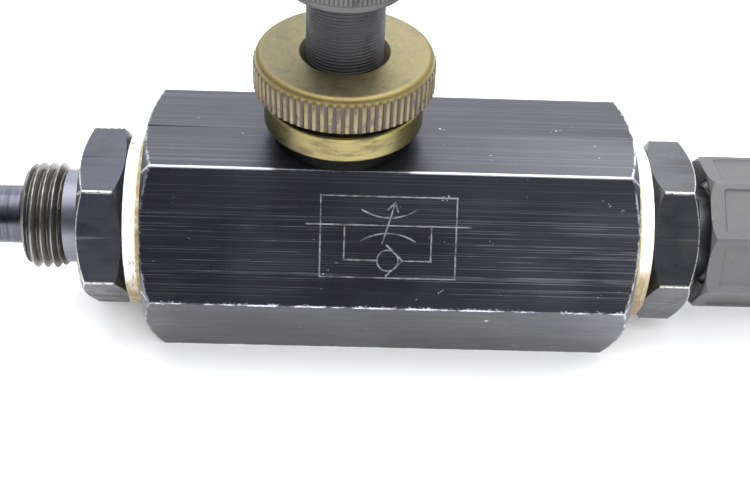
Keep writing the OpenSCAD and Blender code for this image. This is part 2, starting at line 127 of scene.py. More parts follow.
def connect(tree, shader, **links):
    for key, node in links.items():
        output = next(o for o in node.outputs if o.enabled)
        tree.links.new(output, shader.inputs[key.replace("_", " ")])


# Noise whose grain is so many mm along x, y and z
def grainAt(tree, place, size, detail=2.0, rough=0.5, offset=(0, 0, 0)):
    scaled = addNode(tree, "Mapping",
                     {"Vector": place, "Scale": [1 / (s * mm) for s in size], "Location": offset})
    return addNode(tree, "TexNoise", {"Vector": scaled, "Scale": 1.0, "Detail": detail, "Roughness": rough})


# Small pale dots: scattered nicks, one cell in a few
def nicks(tree, place, spacing, radius, share, offset=(0, 0, 0)):
    scaled = addNode(tree, "Mapping",
                     {"Vector": place, "Scale": [1 / (spacing * mm)] * 3, "Location": offset})
    wobble = addNode(tree, "TexNoise", {"Vector": scaled, "Scale": 5.0, "Detail": 1.0})
    bent = addNode(tree, "VectorMath", {0: scaled, 1: wobble.outputs["Color"]}, operation="ADD")
    cells = addNode(tree, "TexVoronoi", {"Vector": bent, "Scale": 1.0})
    chance = addNode(tree, "SeparateColor", {0: cells.outputs["Color"]})
    picked = addNode(tree, "MapRange", {0: chance.outputs[0], 1: 1 - share - 0.01, 2: 1 - share + 0.01},
                     interpolation_type="SMOOTHSTEP")
    reach = addNode(tree, "Math", {0: chance.outputs[1], 1: radius / spacing * 1.6}, operation="MULTIPLY")
    near = addNode(tree, "Math", {0: cells.outputs["Distance"], 1: reach}, operation="LESS_THAN")
    mask = addNode(tree, "Math", {0: picked, 1: near}, operation="MULTIPLY")
    return mask


# Distances in mm on a hexagonal bar along x: to its nearest long edge, and to the chamfer's edge
def barDistances(tree, place, flat, chamferX, turnDeg=0.0):
    centred = addNode(tree, "Mapping", {"Vector": place, "Location": (0, 0, -axisZ * mm)})
    turned = addNode(tree, "Mapping", {"Vector": centred, "Rotation": (math.radians(-turnDeg), 0, 0),
                                       "Scale": (1 / mm, 1 / mm, 1 / mm)})
    reach = []
    for deg in (90, 30, -30):
        normal = (0, math.cos(math.radians(deg)), math.sin(math.radians(deg)))
        dot = addNode(tree, "VectorMath", {0: turned, 1: normal}, operation="DOT_PRODUCT")
        reach.append(addNode(tree, "Math", {0: dot.outputs["Value"]}, operation="ABSOLUTE"))
    top = addNode(tree, "Math", {0: reach[0], 1: reach[1]}, operation="MAXIMUM")
    top = addNode(tree, "Math", {0: top, 1: reach[2]}, operation="MAXIMUM")
    low = addNode(tree, "Math", {0: addNode(tree, "Math", {0: reach[0], 1: reach[1]}, operation="MINIMUM"),
                                 1: reach[2]}, operation="MINIMUM")
    total = addNode(tree, "Math", {0: addNode(tree, "Math", {0: reach[0], 1: reach[1]}), 1: reach[2]})
    # the sum less the lowest less twice the highest is minus the step down to the second flat
    mask = addNode(tree, "Math", {0: top, 1: 2.0}, operation="MULTIPLY")
    step = addNode(tree, "Math",
                   {0: addNode(tree, "Math", {0: total, 1: low}, operation="SUBTRACT"), 1: mask},
                   operation="SUBTRACT")
    edge = addNode(tree, "Math", {0: step, 1: -1.1547}, operation="MULTIPLY")
    parts = addNode(tree, "SeparateXYZ", {0: turned})
    across = addNode(tree, "CombineXYZ", {1: parts.outputs[1], 2: parts.outputs[2]})
    radius = addNode(tree, "VectorMath", {0: across}, operation="LENGTH")
    cone = addNode(tree, "Math",
                   {0: addNode(tree, "Math", {0: radius.outputs["Value"], 1: flat}, operation="SUBTRACT"),
                    1: -0.57735}, operation="MULTIPLY")
    run = addNode(tree, "Math", {0: parts.outputs[0]}, operation="ABSOLUTE")
    arc = addNode(tree, "Math", {0: addNode(tree, "Math", {0: cone, 1: chamferX}), 1: run},
                  operation="SUBTRACT")
    inset = addNode(tree, "Math", {0: flat, 1: top}, operation="SUBTRACT")
    fromArc = addNode(tree, "Math", {0: arc, 1: inset}, operation="MAXIMUM")
    return edge, fromArc, parts, run, radius.outputs["Value"]


# Finishes
finishes = {}


# Black anodised aluminium bar: a dark blue-black sheen that shows drawn grain, scratches and bare edges
def blackAnodised():
    sizes = {"flat": 17.0, "grain": 0.12, "scratch": 0.11, "chip": 0.6}
    material, tree, shader, place = newMaterial("blackAnodisedAluminium", Metallic=0.9, Roughness=0.34)
    edge, arc, parts, run = barDistances(tree, place, sizes["flat"], halfBody)[:4]
    front = addNode(tree, "MapRange", {0: parts.outputs[1], 1: 0.5, 2: -0.5},
                    interpolation_type="SMOOTHSTEP")
    patches = grainAt(tree, place, (14, 9, 9), 3, 0.6)
    lengthwise = grainAt(tree, place, (90, sizes["grain"], sizes["grain"]), 2, 0.6)
    base = addNode(tree, "Mix", {0: patches, 6: linear("#3c3c42"), 7: linear("#48494f")},
                   data_type="RGBA")
    mask = addNode(tree, "MapRange", {0: lengthwise, 1: 0.42, 2: 0.3, 3: 0.0, 4: 0.2},
                   interpolation_type="SMOOTHSTEP")
    base = addNode(tree, "Mix", {0: mask, 6: base, 7: linear("#3a3b42")}, data_type="RGBA")
    # painted shade: the lower half of the bar, below the flow axis, is painted darker
    mask = addNode(tree, "MapRange", {0: parts.outputs[2], 1: 0.4, 2: -0.4, 3: 0.0, 4: 0.35},
                   interpolation_type="SMOOTHSTEP")
    base = addNode(tree, "Mix", {0: mask, 6: base, 7: linear("#26272b")}, data_type="RGBA")
    # painted light: the right half of the front face is painted lighter and greyer
    fade = addNode(tree, "MapRange", {0: parts.outputs[0], 1: 0, 2: 34, 3: 0.0, 4: 0.33},
                   interpolation_type="SMOOTHSTEP")
    mask = addNode(tree, "Math", {0: front, 1: fade}, operation="MULTIPLY")
    base = addNode(tree, "Mix", {0: mask, 6: base, 7: linear("#6c6d74")}, data_type="RGBA")
    # fine bare lines in a band across the front face, broken along their length
    lines = grainAt(tree, place, (140, sizes["scratch"], sizes["scratch"]), 0, 0.5, (3.1, 0, 0))
    breaks = grainAt(tree, place, (11, 0.8, 0.8), 2, 0.6, (0, 5.2, 0))
    bandLow = addNode(tree, "MapRange", {0: parts.outputs[2], 1: 0.5, 2: 3.0},
                      interpolation_type="SMOOTHSTEP")
    bandHigh = addNode(tree, "MapRange", {0: parts.outputs[2], 1: 14.5, 2: 11.0},
                       interpolation_type="SMOOTHSTEP")
    outer = addNode(tree, "MapRange", {0: run, 1: 3, 2: 14, 3: 0.35, 4: 1.0},
                    interpolation_type="SMOOTHSTEP")
    scratches = addNode(tree, "MapRange", {0: lines, 1: 0.61, 2: 0.7}, interpolation_type="SMOOTHSTEP")
    mask = addNode(tree, "MapRange", {0: breaks, 1: 0.42, 2: 0.6, 3: 0.15, 4: 0.75},
                   interpolation_type="SMOOTHSTEP")
    scratches = addNode(tree, "Math", {0: scratches, 1: mask}, operation="MULTIPLY")
    for part in (bandLow, bandHigh, front, outer):
        scratches = addNode(tree, "Math", {0: scratches, 1: part}, operation="MULTIPLY")
    fainter = grainAt(tree, place, (80, 0.14, 0.14), 0, 0.5, (0, 0, 9))
    faint = addNode(tree, "MapRange", {0: fainter, 1: 0.65, 2: 0.72, 3: 0.0, 4: 0.2},
                    interpolation_type="SMOOTHSTEP")
    dots = addNode(tree, "Math",
                   {0: nicks(tree, place, 3.2, 0.17, 0.34),
                    1: nicks(tree, place, 1.7, 0.1, 0.22, (4, 4, 4))}, operation="MAXIMUM")
    # long edges: a narrow bare line on top, partly worn metal and partly a painted highlight, dimmed under
    # the rings by painted shade, and torn chips lower down
    flecks = grainAt(tree, place, (0.5, 0.4, 0.4), 4, 0.7)
    chipReach = addNode(tree, "MapRange", {0: flecks, 1: 0.45, 2: 0.75, 3: 0.1, 4: sizes["chip"]},
                        interpolation_type="SMOOTHSTEP")
    chipLine = addNode(tree, "MapRange",
                       {0: addNode(tree, "Math", {0: edge, 1: chipReach}, operation="SUBTRACT"), 1: 0.06,
                        2: -0.04}, interpolation_type="SMOOTHSTEP")
    lowEdge = addNode(tree, "MapRange", {0: parts.outputs[2], 1: 4, 2: 2},
                      interpolation_type="SMOOTHSTEP")
    worn = addNode(tree, "MapRange", {0: grainAt(tree, place, (3.5, 2, 2), 3, 0.6), 1: 0.38, 2: 0.58},
                   interpolation_type="SMOOTHSTEP")
    mask = addNode(tree, "Math", {0: lowEdge, 1: front}, operation="MULTIPLY")
    chips = addNode(tree, "Math", {0: chipLine, 1: addNode(tree, "Math", {0: mask, 1: 0.15})},
                    operation="MULTIPLY")
    chips = addNode(tree, "Math", {0: chips, 1: worn}, operation="MULTIPLY")
    # painted shade: the top edge's bright line is dimmed near the spindle, where the rings block the light
    fromStem = addNode(tree, "Math", {0: parts.outputs[0], 1: spindleX}, operation="SUBTRACT")
    clear = addNode(tree, "MapRange",
                    {0: addNode(tree, "Math", {0: fromStem}, operation="ABSOLUTE"), 1: 8.7, 2: 10.6,
                     3: 0.04, 4: 1.0}, interpolation_type="SMOOTHSTEP")
    # painted highlight over worn bare metal along the top long edge
    topEdgeWearAndHighlight = addNode(tree, "MapRange", {0: edge, 1: 0.34, 2: 0.14}, interpolation_type="SMOOTHSTEP")
    mask = addNode(tree, "MapRange", {0: parts.outputs[2], 1: 10, 2: 14}, interpolation_type="SMOOTHSTEP")
    topEdgeWearAndHighlight = addNode(tree, "Math", {0: topEdgeWearAndHighlight, 1: mask}, operation="MULTIPLY")
    topEdgeWearAndHighlight = addNode(tree, "Math", {0: topEdgeWearAndHighlight, 1: clear}, operation="MULTIPLY")
    topEdgeWearAndHighlight = addNode(tree, "Math", {0: topEdgeWearAndHighlight, 1: 0.9}, operation="MULTIPLY")
    arcWorn = addNode(tree, "MapRange",
                      {0: grainAt(tree, place, (2, 1.6, 1.6), 3, 0.6, (7, 0, 0)), 1: 0.36, 2: 0.55},
                      interpolation_type="SMOOTHSTEP")
    arcReach = addNode(tree, "MapRange", {0: flecks, 1: 0.35, 2: 0.7, 3: 0.08, 4: 0.34},
                       interpolation_type="SMOOTHSTEP")
    arcLine = addNode(tree, "MapRange",
                      {0: addNode(tree, "Math", {0: arc, 1: arcReach}, operation="SUBTRACT"), 1: 0.05,
                       2: -0.03}, interpolation_type="SMOOTHSTEP")
    arcLine = addNode(tree, "Math", {0: arcLine, 1: arcWorn}, operation="MULTIPLY")
    mask = addNode(tree, "MapRange", {0: parts.outputs[0], 1: -10, 2: 20, 3: 0.4, 4: 0.9},
                   interpolation_type="SMOOTHSTEP")
    arcLine = addNode(tree, "Math", {0: arcLine, 1: mask}, operation="MULTIPLY")
    bare = chips
    for part in (topEdgeWearAndHighlight, arcLine, dots):
        bare = addNode(tree, "Math", {0: bare, 1: part}, operation="MAXIMUM")
    base = addNode(tree, "Mix", {0: faint, 6: base, 7: linear("#8f939d")}, data_type="RGBA")
    base = addNode(tree, "Mix", {0: scratches, 6: base, 7: linear("#9da1aa")}, data_type="RGBA")
    base = addNode(tree, "Mix", {0: bare, 6: base, 7: linear("#cdced6")}, data_type="RGBA")
    mask = addNode(tree, "MapRange", {0: patches, 1: 0.3, 2: 0.7, 3: 0.27, 4: 0.38},
                   interpolation_type="SMOOTHSTEP")
    fade = addNode(tree, "Math", {0: bare, 1: 0.12}, operation="MULTIPLY")
    rough = addNode(tree, "Math", {0: mask, 1: fade})
    raised = addNode(tree, "Math", {0: bare, 1: scratches}, operation="MAXIMUM")
    raised = addNode(tree, "Math", {0: raised, 1: -1.0}, operation="MULTIPLY")
    mask = addNode(tree, "Math", {0: lengthwise, 1: 0.06}, operation="MULTIPLY")
    relief = addNode(tree, "Math", {0: mask, 1: raised})
    bump = addNode(tree, "Bump", {"Height": relief, "Strength": 0.3, "Distance": 0.02 * mm})
    connect(tree, shader, Base_Color=base, Roughness=rough, Normal=bump)
    return material


# Chemically blackened steel: drawn grain along the bar, brown haze and bright worn edges
def blackenedSteel(name, turnDeg, tint, stain, lowerShade):
    sizes = {"flat": 12.0, "edge": 0.36, "lowChamfer": 1.3}
    material, tree, shader, place = newMaterial(name, Metallic=0.92, Roughness=0.34)
    edge, arc, parts, run, radius = barDistances(tree, place, sizes["flat"], hexEnd, turnDeg)
    grain = grainAt(tree, place, (16, 0.14, 0.14), 2, 0.6)
    haze = grainAt(tree, place, (4, 3, 3), 4, 0.6)
    mask = addNode(tree, "MapRange", {0: grain, 1: 0.48, 2: 0.3, 3: 0.0, 4: 0.5},
                   interpolation_type="SMOOTHSTEP")
    base = addNode(tree, "Mix", {0: mask, 6: linear(tint), 7: linear("#3b3c42")}, data_type="RGBA")
    mask = addNode(tree, "MapRange", {0: haze, 1: 0.5, 2: 0.75, 3: 0.0, 4: 0.6},
                   interpolation_type="SMOOTHSTEP")
    base = addNode(tree, "Mix", {0: mask, 6: base, 7: linear(stain)}, data_type="RGBA")
    # painted shade: whatever faces down is painted darker
    mask = addNode(tree, "MapRange", {0: parts.outputs[2], 1: -1, 2: -5, 3: 0.0, 4: lowerShade},
                   interpolation_type="SMOOTHSTEP")
    base = addNode(tree, "Mix", {0: mask, 6: base, 7: linear("#2b2a2c")}, data_type="RGBA")
    flecks = grainAt(tree, place, (0.6, 0.4, 0.4), 3, 0.7)
    keep = addNode(tree, "MapRange", {0: flecks, 1: 0.3, 2: 0.55}, interpolation_type="SMOOTHSTEP")
    # only the hexagon's own edges are rubbed: not the neck, the thread or the washer's side
    onHex = addNode(tree, "MapRange", {0: run, 1: hexEnd + 0.1, 2: hexEnd - 0.1},
                    interpolation_type="SMOOTHSTEP")
    mask = addNode(tree, "MapRange", {0: radius, 1: 11.0, 2: 11.4}, interpolation_type="SMOOTHSTEP")
    onHex = addNode(tree, "Math", {0: onHex, 1: mask}, operation="MULTIPLY")
    mask = addNode(tree, "MapRange",
                   {0: run, 1: hexStart + sizes["lowChamfer"], 2: hexStart + sizes["lowChamfer"] + 0.3},
                   interpolation_type="SMOOTHSTEP")
    onHex = addNode(tree, "Math", {0: onHex, 1: mask}, operation="MULTIPLY")
    longEdge = addNode(tree, "MapRange", {0: edge, 1: sizes["edge"], 2: sizes["edge"] - 0.14},
                       interpolation_type="SMOOTHSTEP")
    longEdge = addNode(tree, "Math", {0: longEdge, 1: onHex}, operation="MULTIPLY")
    arcLine = addNode(tree, "MapRange", {0: arc, 1: 0.17, 2: 0.06}, interpolation_type="SMOOTHSTEP")
    mask = addNode(tree, "MapRange", {0: radius, 1: 11.0, 2: 11.4}, interpolation_type="SMOOTHSTEP")
    arcLine = addNode(tree, "Math", {0: arcLine, 1: mask}, operation="MULTIPLY")
    lines = addNode(tree, "Math", {0: longEdge, 1: arcLine}, operation="MAXIMUM")
    bare = addNode(tree, "Math", {0: lines, 1: keep}, operation="MULTIPLY")
    bare = addNode(tree, "Math", {0: bare, 1: 0.9}, operation="MULTIPLY")
    bare = addNode(tree, "Math", {0: bare, 1: nicks(tree, place, 2.2, 0.09, 0.16)}, operation="MAXIMUM")
    base = addNode(tree, "Mix", {0: bare, 6: base, 7: linear("#d6d5d0")}, data_type="RGBA")
    # past the hexagon the turned neck and thread keep dirt in their roots; their crests are painted lighter,
    # rubbed metal with a painted highlight
    spigot = addNode(tree, "MapRange", {0: run, 1: hexEnd + 0.1, 2: hexEnd + 0.3},
                     interpolation_type="SMOOTHSTEP")
    crest = addNode(tree, "MapRange", {0: radius, 1: 7.25, 2: 7.9}, interpolation_type="SMOOTHSTEP")
    specks = nicks(tree, place, 0.8, 0.09, 0.3, (2, 0, 6))
    fade = addNode(tree, "MapRange", {0: haze, 1: 0.25, 2: 0.6, 3: 0.4, 4: 1.0},
                   interpolation_type="SMOOTHSTEP")
    mask = addNode(tree, "Math", {0: crest, 1: fade}, operation="MULTIPLY")
    threadColour = addNode(tree, "Mix", {0: mask, 6: linear("#625f5c"), 7: linear("#8a8782")},
                           data_type="RGBA")
    mask = addNode(tree, "Math", {0: specks, 1: crest}, operation="MULTIPLY")
    threadColour = addNode(tree, "Mix", {0: mask, 6: threadColour.outputs[2], 7: linear("#c9c6c0")},
                           data_type="RGBA")
    onThread = addNode(tree, "MapRange", {0: run, 1: hexEnd + 2.9, 2: hexEnd + 3.1},
                       interpolation_type="SMOOTHSTEP")
    neckColour = addNode(tree, "Mix", {0: onThread, 6: linear("#74767f"), 7: threadColour.outputs[2]},
                         data_type="RGBA")
    base = addNode(tree, "Mix", {0: spigot, 6: base, 7: neckColour.outputs[2]}, data_type="RGBA")
    rough = addNode(tree, "MapRange", {0: haze, 1: 0.3, 2: 0.75, 3: 0.26, 4: 0.42},
                    interpolation_type="SMOOTHSTEP")
    bump = addNode(tree, "Bump", {"Height": grain, "Strength": 0.2, "Distance": 0.012 * mm})
    connect(tree, shader, Base_Color=base, Roughness=rough, Normal=bump)
    return material


# Black oxide on turned steel: near-black satin with rings from the tool and rubbed crests
def turnedBlack():
    material, tree, shader, place = newMaterial("blackOxideTurnedSteel", Metallic=0.8, Roughness=0.5)
    rings = grainAt(tree, place, (6, 6, 0.12), 2, 0.6)
    haze = grainAt(tree, place, (3, 3, 5), 3, 0.6)
    base = addNode(tree, "Mix", {0: rings, 6: linear("#48484b"), 7: linear("#565659")}, data_type="RGBA")
    mask = addNode(tree, "MapRange", {0: haze, 1: 0.5, 2: 0.72, 3: 0.0, 4: 0.8},
                   interpolation_type="SMOOTHSTEP")
    base = addNode(tree, "Mix", {0: mask, 6: base, 7: linear("#3c3836")}, data_type="RGBA")
    base = addNode(tree, "Mix", {0: nicks(tree, place, 1.9, 0.06, 0.15), 6: base, 7: linear("#9a9a9c")},
                   data_type="RGBA")
    rough = addNode(tree, "MapRange", {0: haze, 1: 0.3, 2: 0.7, 3: 0.44, 4: 0.6},
                    interpolation_type="SMOOTHSTEP")
    bump = addNode(tree, "Bump", {"Height": rings, "Strength": 0.2, "Distance": 0.01 * mm})
    connect(tree, shader, Base_Color=base, Roughness=rough, Normal=bump)
    return material


# Handled brass gone dull: olive and brown on the faces, brighter yellow where fingers rub the rim
def oldBrass():
    sizes = {"top": lockHigh.z / mm, "radius": lockHigh.x / mm - spindleX, "shoulder": 1.5}
    material, tree, shader, place = newMaterial("tarnishedBrass", Metallic=0.95, Roughness=0.46)
    centred = addNode(tree, "Mapping",
                      {"Vector": place, "Location": (-spindleX, 0, 0), "Scale": [1 / mm] * 3})
    parts = addNode(tree, "SeparateXYZ", {0: centred})
    flatPlace = addNode(tree, "CombineXYZ", {0: parts.outputs[0], 1: parts.outputs[1]})
    radius = addNode(tree, "VectorMath", {0: flatPlace}, operation="LENGTH").outputs["Value"]
    clouds = grainAt(tree, place, (2.2, 2.2, 2.2), 5, 0.62)
    fine = grainAt(tree, place, (0.35, 0.35, 0.35), 3, 0.6)
    base = addNode(tree, "Mix", {0: clouds, 6: linear("#746e54"), 7: linear("#857d5b")}, data_type="RGBA")
    mask = addNode(tree, "MapRange", {0: clouds, 1: 0.5, 2: 0.34, 3: 0.0, 4: 0.35},
                   interpolation_type="SMOOTHSTEP")
    base = addNode(tree, "Mix", {0: mask, 6: base, 7: linear("#5d594c")}, data_type="RGBA")
    mask = addNode(tree, "MapRange",
                   {0: grainAt(tree, place, (1.4, 1.4, 1.4), 4, 0.6, (9, 0, 0)), 1: 0.58, 2: 0.72, 3: 0.0,
                    4: 0.25}, interpolation_type="SMOOTHSTEP")
    base = addNode(tree, "Mix", {0: mask, 6: base, 7: linear("#a99c63")}, data_type="RGBA")
    # painted shade: darker towards the inlet
    mask = addNode(tree, "MapRange", {0: parts.outputs[0], 1: 2, 2: -10, 3: 0.0, 4: 0.5},
                   interpolation_type="SMOOTHSTEP")
    base = addNode(tree, "Mix", {0: mask, 6: base, 7: linear("#555040")}, data_type="RGBA")
    rim = addNode(tree, "MapRange",
                  {0: radius, 1: sizes["radius"] - sizes["shoulder"], 2: sizes["radius"] - 0.6},
                  interpolation_type="SMOOTHSTEP")
    mask = addNode(tree, "MapRange", {0: parts.outputs[2], 1: sizes["top"] - 1.5, 2: sizes["top"] - 0.9},
                   interpolation_type="SMOOTHSTEP")
    rim = addNode(tree, "Math", {0: rim, 1: mask}, operation="MULTIPLY")
    fade = addNode(tree, "MapRange", {0: fine, 1: 0.25, 2: 0.6, 3: 0.6, 4: 1.0},
                   interpolation_type="SMOOTHSTEP")
    mask = addNode(tree, "Math", {0: rim, 1: fade}, operation="MULTIPLY")
    base = addNode(tree, "Mix", {0: mask, 6: base, 7: linear("#85784d")}, data_type="RGBA")
    # the sides: worn crests over brown dirt in the valleys
    sides = addNode(tree, "MapRange", {0: radius, 1: sizes["radius"] - 0.6, 2: sizes["radius"] - 0.45},
                    interpolation_type="SMOOTHSTEP")
    mask = addNode(tree, "MapRange", {0: parts.outputs[2], 1: sizes["top"] - 0.9, 2: sizes["top"] - 1.4},
                   interpolation_type="SMOOTHSTEP")
    sides = addNode(tree, "Math", {0: sides, 1: mask}, operation="MULTIPLY")
    crest = addNode(tree, "MapRange", {0: radius, 1: sizes["radius"] - 0.2, 2: sizes["radius"] - 0.02},
                    interpolation_type="SMOOTHSTEP")
    sideColour = addNode(tree, "Mix", {0: crest, 6: linear("#554c49"), 7: linear("#8f8462")},
                         data_type="RGBA")
    mask = addNode(tree, "MapRange", {0: clouds, 1: 0.48, 2: 0.64, 3: 0.0, 4: 0.75},
                   interpolation_type="SMOOTHSTEP")
    sideColour = addNode(tree, "Mix", {0: mask, 6: sideColour, 7: linear("#5c5354")}, data_type="RGBA")
    base = addNode(tree, "Mix", {0: sides, 6: base, 7: sideColour.outputs[2]}, data_type="RGBA")
    rough = addNode(tree, "MapRange", {0: fine, 1: 0.3, 2: 0.7, 3: 0.4, 4: 0.54},
                    interpolation_type="SMOOTHSTEP")
    bump = addNode(tree, "Bump", {"Height": fine, "Strength": 0.25, "Distance": 0.02 * mm})
    connect(tree, shader, Base_Color=base, Roughness=rough, Normal=bump)
    return material


# Turned brass: dull yellow with brown finger marks and fine rings
def brass():
    sizes = {"low": 36.5, "high": 40.5}
    material, tree, shader, place = newMaterial("turnedBrass", Metallic=1.0, Roughness=0.36)
    smudge = grainAt(tree, place, (5.5, 5.5, 1.1), 4, 0.6)
    rings = grainAt(tree, place, (8, 8, 0.14), 2, 0.5)
    spots = grainAt(tree, place, (0.9, 0.9, 0.7), 4, 0.6, (2, 2, 2))
    base = addNode(tree, "Mix", {0: rings, 6: linear("#877e55"), 7: linear("#968d61")}, data_type="RGBA")
    mask = addNode(tree, "MapRange", {0: smudge, 1: 0.46, 2: 0.66, 3: 0.0, 4: 0.9},
                   interpolation_type="SMOOTHSTEP")
    base = addNode(tree, "Mix", {0: mask, 6: base, 7: linear("#6f664b")}, data_type="RGBA")
    mask = addNode(tree, "MapRange", {0: spots, 1: 0.62, 2: 0.74, 3: 0.0, 4: 0.8},
                   interpolation_type="SMOOTHSTEP")
    base = addNode(tree, "Mix", {0: mask, 6: base, 7: linear("#564e40")}, data_type="RGBA")
    parts = addNode(tree, "SeparateXYZ", {0: place})
    upper = addNode(tree, "MapRange",
                    {0: parts.outputs[2], 1: (sizes["high"] - 1.0) * mm, 2: sizes["high"] * mm},
                    interpolation_type="SMOOTHSTEP")
    fade = addNode(tree, "MapRange", {0: smudge, 1: 0.6, 2: 0.4, 3: 0.0, 4: 0.8},
                   interpolation_type="SMOOTHSTEP")
    mask = addNode(tree, "Math", {0: upper, 1: fade}, operation="MULTIPLY")
    base = addNode(tree, "Mix", {0: mask, 6: base, 7: linear("#a09348")}, data_type="RGBA")
    # painted shade: darker towards the inlet
    inletSideShade = addNode(tree, "MapRange",
                      {0: parts.outputs[0], 1: (spindleX + 4) * mm, 2: (spindleX - 10) * mm, 3: 0.0,
                       4: 0.45}, interpolation_type="SMOOTHSTEP")
    base = addNode(tree, "Mix", {0: inletSideShade, 6: base, 7: linear("#686047")}, data_type="RGBA")
    rough = addNode(tree, "MapRange", {0: smudge, 1: 0.35, 2: 0.7, 3: 0.3, 4: 0.5},
                    interpolation_type="SMOOTHSTEP")
    bump = addNode(tree, "Bump", {"Height": rings, "Strength": 0.2, "Distance": 0.01 * mm})
    connect(tree, shader, Base_Color=base, Roughness=rough, Normal=bump)
    return material


# Stand-off painted near black with almost no sheen: painted shade for the shadowed gap under the ring
def shadowGapFinish():
    material, tree, shader, place = newMaterial("standOffPaintedShadow", Roughness=0.8)
    shader.inputs["Specular IOR Level"].default_value = 0.15
    dust = grainAt(tree, place, (1.2, 1.2, 1.2), 3, 0.6)
    mask = addNode(tree, "MapRange", {0: dust, 1: 0.4, 2: 0.75}, interpolation_type="SMOOTHSTEP")
    base = addNode(tree, "Mix", {0: mask, 6: linear("#070707"), 7: linear("#0e0d0d")}, data_type="RGBA")
    rough = addNode(tree, "MapRange", {0: dust, 1: 0.3, 2: 0.7, 3: 0.65, 4: 0.85},
                    interpolation_type="SMOOTHSTEP")
    connect(tree, shader, Base_Color=base, Roughness=rough)
    return material


# White nylon sealing washer: waxy white, yellowed and oil-stained where it meets the bar
def whiteNylon(name, stainBelow):
    material, tree, shader, place = newMaterial(name, Roughness=0.45, IOR=1.53)
    shader.inputs["Subsurface Weight"].default_value = 0.12
    shader.inputs["Subsurface Radius"].default_value = (0.8 * mm, 0.7 * mm, 0.5 * mm)
    parts = addNode(tree, "SeparateXYZ", {0: place})
    run = addNode(tree, "Math", {0: parts.outputs[0]}, operation="ABSOLUTE")
    clouds = grainAt(tree, place, (2.2, 1.5, 2.6), 4, 0.6)
    spots = grainAt(tree, place, (0.8, 0.9, 1.8), 5, 0.65, (5, 1, 0))
    bands = grainAt(tree, place, (0.5, 3, 3), 3, 0.6, (0, 3, 1))
    mask = addNode(tree, "MapRange", {0: clouds, 1: 0.45, 2: 0.7}, interpolation_type="SMOOTHSTEP")
    base = addNode(tree, "Mix", {0: mask, 6: linear("#f3f2ee"), 7: linear("#e8e4d6")}, data_type="RGBA")
    inner = addNode(tree, "MapRange", {0: run, 1: (halfBody + 1.35) * mm, 2: (halfBody + 1.0) * mm},
                    interpolation_type="SMOOTHSTEP")
    fade = addNode(tree, "MapRange", {0: clouds, 1: 0.3, 2: 0.5, 3: 0.5, 4: 0.95},
                   interpolation_type="SMOOTHSTEP")
    mask = addNode(tree, "Math", {0: inner, 1: fade}, operation="MULTIPLY")
    base = addNode(tree, "Mix", {0: mask, 6: base, 7: linear("#94803a")}, data_type="RGBA")
    # oil has crept up from below, tan at first and brown in patches, with streaks round the ring
    mask = addNode(tree, "Math", {0: bands, 1: 5 * mm}, operation="MULTIPLY")
    ragged = addNode(tree, "Math", {0: mask, 1: parts.outputs[2]})
    low = addNode(tree, "MapRange", {0: ragged, 1: (stainBelow + 4.4) * mm, 2: (stainBelow + 0.4) * mm},
                  interpolation_type="SMOOTHSTEP")
    fade = addNode(tree, "MapRange", {0: bands, 1: 0.3, 2: 0.6, 3: 0.6, 4: 0.95},
                   interpolation_type="SMOOTHSTEP")
    mask = addNode(tree, "Math", {0: low, 1: fade}, operation="MULTIPLY")
    base = addNode(tree, "Mix", {0: mask, 6: base, 7: linear("#8d7848")}, data_type="RGBA")
    deeper = addNode(tree, "MapRange",
                     {0: parts.outputs[2], 1: (stainBelow - 1) * mm, 2: (stainBelow - 5) * mm, 3: 0.0,
                      4: 0.92}, interpolation_type="SMOOTHSTEP")
    fade = addNode(tree, "MapRange", {0: clouds, 1: 0.3, 2: 0.55}, interpolation_type="SMOOTHSTEP")
    mask = addNode(tree, "Math", {0: deeper, 1: fade}, operation="MULTIPLY")
    base = addNode(tree, "Mix", {0: mask, 6: base, 7: linear("#7d6c48")}, data_type="RGBA")
    marks = addNode(tree, "MapRange",
                    {0: parts.outputs[2], 1: (stainBelow + 6) * mm, 2: (stainBelow - 1) * mm, 3: 0.5,
                     4: 1.0}, interpolation_type="SMOOTHSTEP")
    mask = addNode(tree, "MapRange", {0: spots, 1: 0.57, 2: 0.66, 3: 0.0, 4: 0.9},
                   interpolation_type="SMOOTHSTEP")
    mask = addNode(tree, "Math", {0: mask, 1: marks}, operation="MULTIPLY")
    base = addNode(tree, "Mix", {0: mask, 6: base, 7: linear("#6f532f")}, data_type="RGBA")
    # round brown spots where drops have dried
    dried = addNode(tree, "Math",
                    {0: nicks(tree, place, 4.5, 0.75, 0.4, (1, 2, 0)),
                     1: nicks(tree, place, 2.4, 0.35, 0.3)}, operation="MAXIMUM")
    fade = addNode(tree, "MapRange", {0: spots, 1: 0.3, 2: 0.55, 3: 0.3, 4: 0.9},
                   interpolation_type="SMOOTHSTEP")
    mask = addNode(tree, "Math", {0: dried, 1: fade}, operation="MULTIPLY")
    base = addNode(tree, "Mix", {0: mask, 6: base, 7: linear("#6b4f2e")}, data_type="RGBA")
    bump = addNode(tree, "Bump", {"Height": clouds, "Strength": 0.2, "Distance": 0.05 * mm})
    rough = addNode(tree, "MapRange", {0: clouds, 1: 0.3, 2: 0.7, 3: 0.4, 4: 0.55},
                    interpolation_type="SMOOTHSTEP")
    connect(tree, shader, Base_Color=base, Roughness=rough, Normal=bump)
    return material


